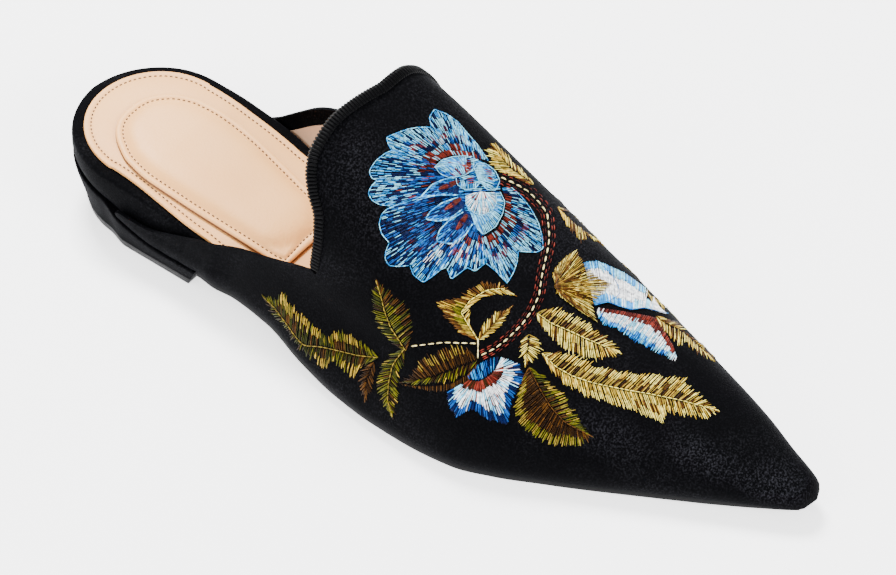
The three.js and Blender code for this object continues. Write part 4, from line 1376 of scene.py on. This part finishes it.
# Leaves: the vein from stem to tip, both edges between its ends, their shades and the vein's spool.
LEAVES = [
    ([(310, 419), (290, 417), (270, 412), (252, 408), (236, 407), (228, 398), (219, 385),
      (207, 369), (195, 357)],
     [(303, 410), (292, 401), (280, 394), (269, 391), (258, 399), (247, 387), (232, 374),
      (222, 365), (215, 353), (207, 360)],
     [(301, 424), (290, 431), (286, 440), (277, 434), (268, 424), (256, 430), (246, 422),
      (234, 413), (225, 404), (219, 393), (212, 384), (203, 373)],
     GREEN_GILT, GREEN_GILT, "straw"),
    ([(338, 412), (331, 401), (323, 389), (317, 373), (313, 357), (308, 341)],
     [(322, 404), (312, 392), (306, 376), (304, 360), (305, 348)],
     [(344, 398), (344, 380), (338, 367), (328, 358), (318, 350)],
     GREEN_GILT, SHADED, "straw"),
    ([(306, 424), (299, 440), (297, 462)],
     [(294, 430), (291, 445), (293, 456)],
     [(307, 436), (305, 448), (302, 457)], BROWN, BROWN, None),
    ([(337, 410), (325, 426), (321, 445), (320, 462), (325, 479)],
     [(322, 416), (311, 428), (309, 445), (312, 460), (318, 471)],
     [(336, 425), (331, 438), (330, 455), (329, 468)],
     GREEN_GILT, GREEN_GILT, "straw"),
    ([(409, 422), (386, 430), (369, 437), (351, 441), (333, 444)],
     [(400, 410), (386, 407), (368, 413), (352, 421), (347, 428), (341, 436)],
     [(400, 434), (385, 443), (365, 446), (345, 446)],
     BROWN, GREEN_GILT, None),
    ([(461, 429), (472, 451), (483, 469), (497, 484), (524, 498)],
     [(479, 439), (487, 451), (497, 455), (502, 465), (509, 479)],
     [(454, 441), (449, 458), (446, 472), (453, 488), (464, 497), (486, 507), (512, 508)],
     [(0.3, "brown umber"), (0.6, "olive moss"), (1, "straw olive gold")],
     [(0.65, "umber umber brown"), (1, "straw olive")], "brown"),
    ([(474, 415), (487, 428), (505, 438), (526, 445), (555, 451), (583, 456), (612, 462),
      (652, 473)],
     [(494, 413), (523, 422), (529, 428), (555, 433), (583, 436), (619, 440), (621, 446),
      (634, 458), (644, 466)],
     [(483, 432), (497, 446), (517, 458), (540, 465), (562, 471), (583, 479), (596, 485),
      (598, 474), (619, 479), (641, 481)],
     GILT, BRIGHT, "pale_gold"),
    ([(461, 396), (460, 410), (457, 428)],
     [(452, 404), (452, 416)],
     [(472, 402), (474, 412), (466, 420)], GILT, GILT, None),
    ([(469, 375), (483, 385), (500, 392), (517, 400), (553, 415)],
     [(477, 371), (494, 370), (512, 380), (525, 386), (529, 393), (540, 399), (548, 407)],
     [(470, 382), (476, 392), (487, 403), (502, 415), (520, 419), (532, 422), (543, 419)],
     GILT, BRIGHT, "pale_gold"),
    ([(588, 378), (600, 386), (615, 393), (630, 406), (646, 422)],
     [(598, 380), (615, 386), (626, 395), (634, 406)],
     [(591, 385), (601, 398), (611, 407), (619, 406), (631, 416)],
     BRIGHT, BRIGHT, "brown"),
    ([(545, 310), (553, 321), (562, 331), (576, 342)],
     [(555, 318), (562, 327)],
     [(552, 323), (557, 331)], BRIGHT, BRIGHT, None),
    ([(576, 351), (588, 360), (612, 379)],
     [(588, 356), (600, 366)],
     [(583, 362), (597, 371)], GILT, GILT, None),
    ([(466, 246), (442, 229), (424, 206)],
     [(454, 231), (442, 219), (430, 208), (424, 204)],
     [(454, 243), (436, 234), (428, 233), (422, 223), (417, 210)],
     BRIGHT, BRIGHT, None),
    ([(410, 402), (400, 386), (393, 374), (402, 362), (418, 352), (434, 350), (447, 357)],
     [(390, 394), (379, 382), (368, 363), (392, 359), (402, 349), (417, 343), (434, 345)],
     [(401, 385), (402, 368), (415, 358), (434, 356)],
     [(0.45, "olive gold straw"), (1, "brown gold brown")], GILT, "pale_gold"),
    ([(411, 401), (424, 387), (444, 368)],
     [(413, 389), (427, 373)],
     [(419, 400), (436, 384)], GILT, GILT, "brown"),
    ([(489, 268), (507, 284), (535, 307)],
     [(508, 275), (523, 292), (530, 299)],
     [(500, 290), (513, 303), (520, 298)], BRIGHT, BRIGHT, None),
]
LEAF_SHADOW = [(409, 424), (400, 435), (385, 444), (365, 447), (345, 447), (334, 445)]
LEAF_UNDERSIDE = [(408, 431), (400, 443), (385, 451), (368, 454), (350, 450), (335, 447)]
SKIRT_SHADES = [(0.26, "red rust umber"), (0.66, "white ice white"), (1, "blue deep")]
BUD_SHADES = [(0.14, "sky"), (0.3, "ice white"), (0.8, "white"), (1, "sky ice")]
LIP_SHADES = [(0.3, "red rust rust"), (0.72, "white white ice"), (1, "sky ice blue")]
CALYX_SHADES = [(0.4, "gold straw brown"), (0.8, "pale_gold gold"), (1, "pale_gold straw")]
CALYX_HEART = [(487, 345), (486, 349), (489, 352)]
CALYX = [
    (484, 337), (488, 328), (498, 318), (508, 312), (514, 322), (520, 331), (533, 341), (543, 346),
    (532, 357), (525, 368), (529, 384), (512, 373), (498, 363), (488, 355),
]
BUD_UPPER = [(516, 323), (529, 321), (543, 327), (558, 334), (572, 344), (584, 353), (592, 368),
             (600, 376)]
BUD_LOWER = [(527, 367), (540, 364), (550, 368), (563, 372), (576, 370), (588, 373), (600, 376)]
BUD_SEAM = [(530, 324), (543, 336), (550, 348), (551, 357), (541, 363), (528, 366)]
LIP_UPPER = [(531, 369), (552, 372), (569, 375), (589, 379), (597, 393), (605, 406), (609, 418)]
LIP_LOWER = [(529, 375), (535, 385), (549, 391), (566, 402), (584, 411), (607, 422)]
STEM = [
    (433, 239), (448, 246), (460, 253), (471, 264), (479, 275), (481, 295), (481, 303), (479, 314),
    (474, 336), (471, 357), (464, 372), (454, 386), (440, 400), (427, 410), (411, 418),
]
TENDRIL = [(408, 405), (375, 404), (341, 408)]
STEM_KNOT = [(410, 400), (410, 420)]
CAP_TOP = [(400, 437), (410, 426), (421, 420), (430, 418)]
CAP_FOOT = [(402, 441), (411, 442), (420, 437), (428, 430)]
SKIRT = [
    (378, 455), (379, 466), (388, 480), (404, 471), (420, 482), (440, 487), (445, 462), (458, 437),
    (451, 424), (434, 418),
]


def leaves():
    stitches = []
    for drawing in LEAVES:
        stitches += leaf(*drawing)
    stitches += comb(LEAF_SHADOW, LEAF_UNDERSIDE, DARK)
    return stitches


def small_blooms():
    """The small flower, the calyx, the bud and its lip."""
    stitches = comb(CAP_FOOT, SKIRT, SKIRT_SHADES, 0, stroke=11, width=1.2)
    stitches += comb(CAP_TOP, CAP_FOOT, [(1, "blue deep sky")], 2, fray=0.4)
    stitches += comb(BUD_LOWER, BUD_UPPER, BUD_SHADES, 0, pitch=1.4, fray=0.3, width=1.3)
    for line in (BUD_SEAM, BUD_LOWER):
        stitches += outline(line, "sky blue", layer=3, closed=False)
    stitches += comb(LIP_UPPER, LIP_LOWER, LIP_SHADES, 1, pitch=1.3, stroke=5, fray=1.8, width=1.05)
    stitches += comb(CALYX_HEART, CALYX, CALYX_SHADES, 3, pitch=2.0, stroke=10, width=0.85)
    stitches += comb(CALYX_HEART, CALYX, DARK, 4, pitch=3.4, stroke=8, fray=0, width=0.8)
    return stitches


def twisted_stem(stem):
    """A row of long cream stitches with two rows of thin dark red ones on each side."""
    stitches = []
    for shift, spools, stroke, width in (
        (-6.4, "rust red", 5.2, 1.0), (-3.8, "rust rust red", 4.6, 0.9), (0, "cream", 5.8, 1.7),
        (3.6, "rust red rust", 4.8, 0.9), (6.2, "red rust", 5.4, 1.1),
    ):
        stitches += dashes(stem, spools, 1, stroke, 2.6, width, shift, 0.7)
    return stitches


def stems():
    tendril = dashes(TENDRIL, "cream", stroke=5.5, pause=2.0, width=1.5)
    stem = twisted_stem(STEM)
    knot = dashes(STEM_KNOT, "cream", layer=3, stroke=9, pause=0, width=1.5)
    return stem + tendril + knot


# The leaves on the inner side, laid out in the same pixels and thrown on the vamp from over the
# arch.
ARCH_EYE = Vector((-0.7449, 0.4399, 0.7996))
ARCH_TURN = 0.0202
APART = 0.0015
INNER_LEAVES = [
    ([(535, 251), (505, 248), (474, 246)],
     [(533, 243), (511, 240)],
     [(532, 263), (515, 270), (494, 258)],
     BROWN, SHADED, None),
    ([(533, 264), (549, 274), (555, 290), (556, 312)],
     [(550, 254), (560, 257), (576, 269), (569, 281), (576, 291), (564, 307)],
     [(535, 276), (547, 293), (552, 304)],
     GREEN_GILT, GREEN_GILT, "straw"),
    ([(632, 303), (608, 322), (554, 332)],
     [(629, 298), (608, 298), (588, 305), (581, 319)],
     [(629, 317), (615, 346), (605, 351), (595, 344), (583, 356), (569, 344)],
     GREEN_GILT, GREEN_GILT, "brown"),
    ([(650, 310), (650, 346), (649, 383)],
     [(636, 320), (628, 339), (636, 368)],
     [(662, 320), (668, 339), (662, 363)],
     GREEN_GILT, GREEN_GILT, "straw"),
    ([(668, 303), (688, 334), (716, 388)],
     [(687, 301), (700, 318), (719, 347), (720, 366)],
     [(668, 332), (678, 357), (692, 378)],
     GREEN_GILT, GILT, "straw"),
]


def arch_ray(pixel):
    """Way from the eye over the arch through a pixel."""
    ray = sight_ray(pixel)
    ray.rotate(Matrix.Rotation(-ARCH_TURN, 3, "Z"))
    return Vector((-ray.x, ray.y, ray.z))


def hidden_from_sight(stitches):
    """The stitches that don't cross the spray on the outer side."""
    kept = []
    for stitch in stitches:
        place, _, _, _ = vamp_cloth.ray_cast(ARCH_EYE, arch_ray(stitch[:2]))
        if place is None:
            continue
        seen, _, _, _ = vamp_cloth.ray_cast(EYE, (place - EYE).normalized())
        if seen is not None and (seen - place).length > APART:
            kept.append(stitch)
    return kept


def inner_leaves():
    stitches = []
    for drawing in INNER_LEAVES:
        stitches += leaf(*drawing)
    return hidden_from_sight(stitches)


bpy.context.view_layer.update()
vamp_cloth = BVHTree.FromObject(vamp, bpy.context.evaluated_depsgraph_get())
for part, drawing in (
    ("flower", large_flower),
    ("leaves", leaves),
    ("blooms", small_blooms),
    ("stems", stems),
):
    stitched("embroidery_" + part, drawing(), EYE, sight_ray)
stitched("embroidery_inner_side", inner_leaves(), ARCH_EYE, arch_ray)


# Studio: a plain pale floor, wide soft lamps, and the camera at the photograph's angle, with its
# frame moved along to hold the one shoe.
AIM_PIXEL = (380, 349)
PHOTO_WIDTH = 896
SENSOR = 36
FLOOR_REACH = 6.0
FLOOR_PAPER = ((0.86, 0.86, 0.87, 1), (0.9, 0.9, 0.9, 1))
FLOOR_GLOW = 1.8
SKY_LIGHT = (0.97, 0.98, 1.0, 1)


def make_camera():
    lens = bpy.data.cameras.new("camera")
    lens.sensor_width = SENSOR
    lens.lens = FOCAL_PIXELS * SENSOR / PHOTO_WIDTH
    lens.clip_end = 20
    camera = linked("camera", lens)
    back = -sight_ray(AIM_PIXEL)
    up = sight_axes()[1]
    right = up.cross(back).normalized()
    up = back.cross(right)
    camera.matrix_world = Matrix.Translation(EYE) @ Matrix((right, up, back)).transposed().to_4x4()
    bpy.context.scene.camera = camera


def make_lamp(name, place, size, power):
    lamp = bpy.data.lights.new(name, "AREA")
    lamp.shape = "RECTANGLE"
    lamp.size, lamp.size_y = size
    lamp.energy = power
    made = linked(name, lamp)
    made.location = place
    made.rotation_euler = (-Vector(place)).to_track_quat("-Z", "Y").to_euler()


def make_floor():
    mesh = bpy.data.meshes.new("floor")
    corners = [(-1, -1), (1, -1), (1, 1), (-1, 1)]
    mesh.from_pydata([(FLOOR_REACH * x, FLOOR_REACH * y, 0) for x, y in corners], [], [(0, 1, 2, 3)])
    finish = Finish("floor_paper", {"Roughness": 0.9, "Specular IOR Level": 0.1})
    finish.feed("Base Color", finish.blend(finish.noise(0.4), *FLOOR_PAPER))
    finish.feed("Emission Color", (1, 1, 1, 1))
    finish.feed("Emission Strength", FLOOR_GLOW)
    mesh.materials.append(finish.material)
    linked("floor", mesh)


def make_world():
    world = bpy.data.worlds.new("studio")
    world.use_nodes = True
    background = world.node_tree.nodes["Background"]
    background.inputs["Color"].default_value = SKY_LIGHT
    background.inputs["Strength"].default_value = 1.0
    bpy.context.scene.world = world


make_camera()
make_lamp("key_lamp", (-0.6, -0.8, 1.5), (0.6, 0.5), 90)
make_lamp("toe_lamp", (0.2, 1.5, 1.1), (1.0, 0.5), 34)
make_lamp("side_lamp", (1.6, -0.3, 0.9), (0.8, 0.8), 22)
make_floor()
make_world()
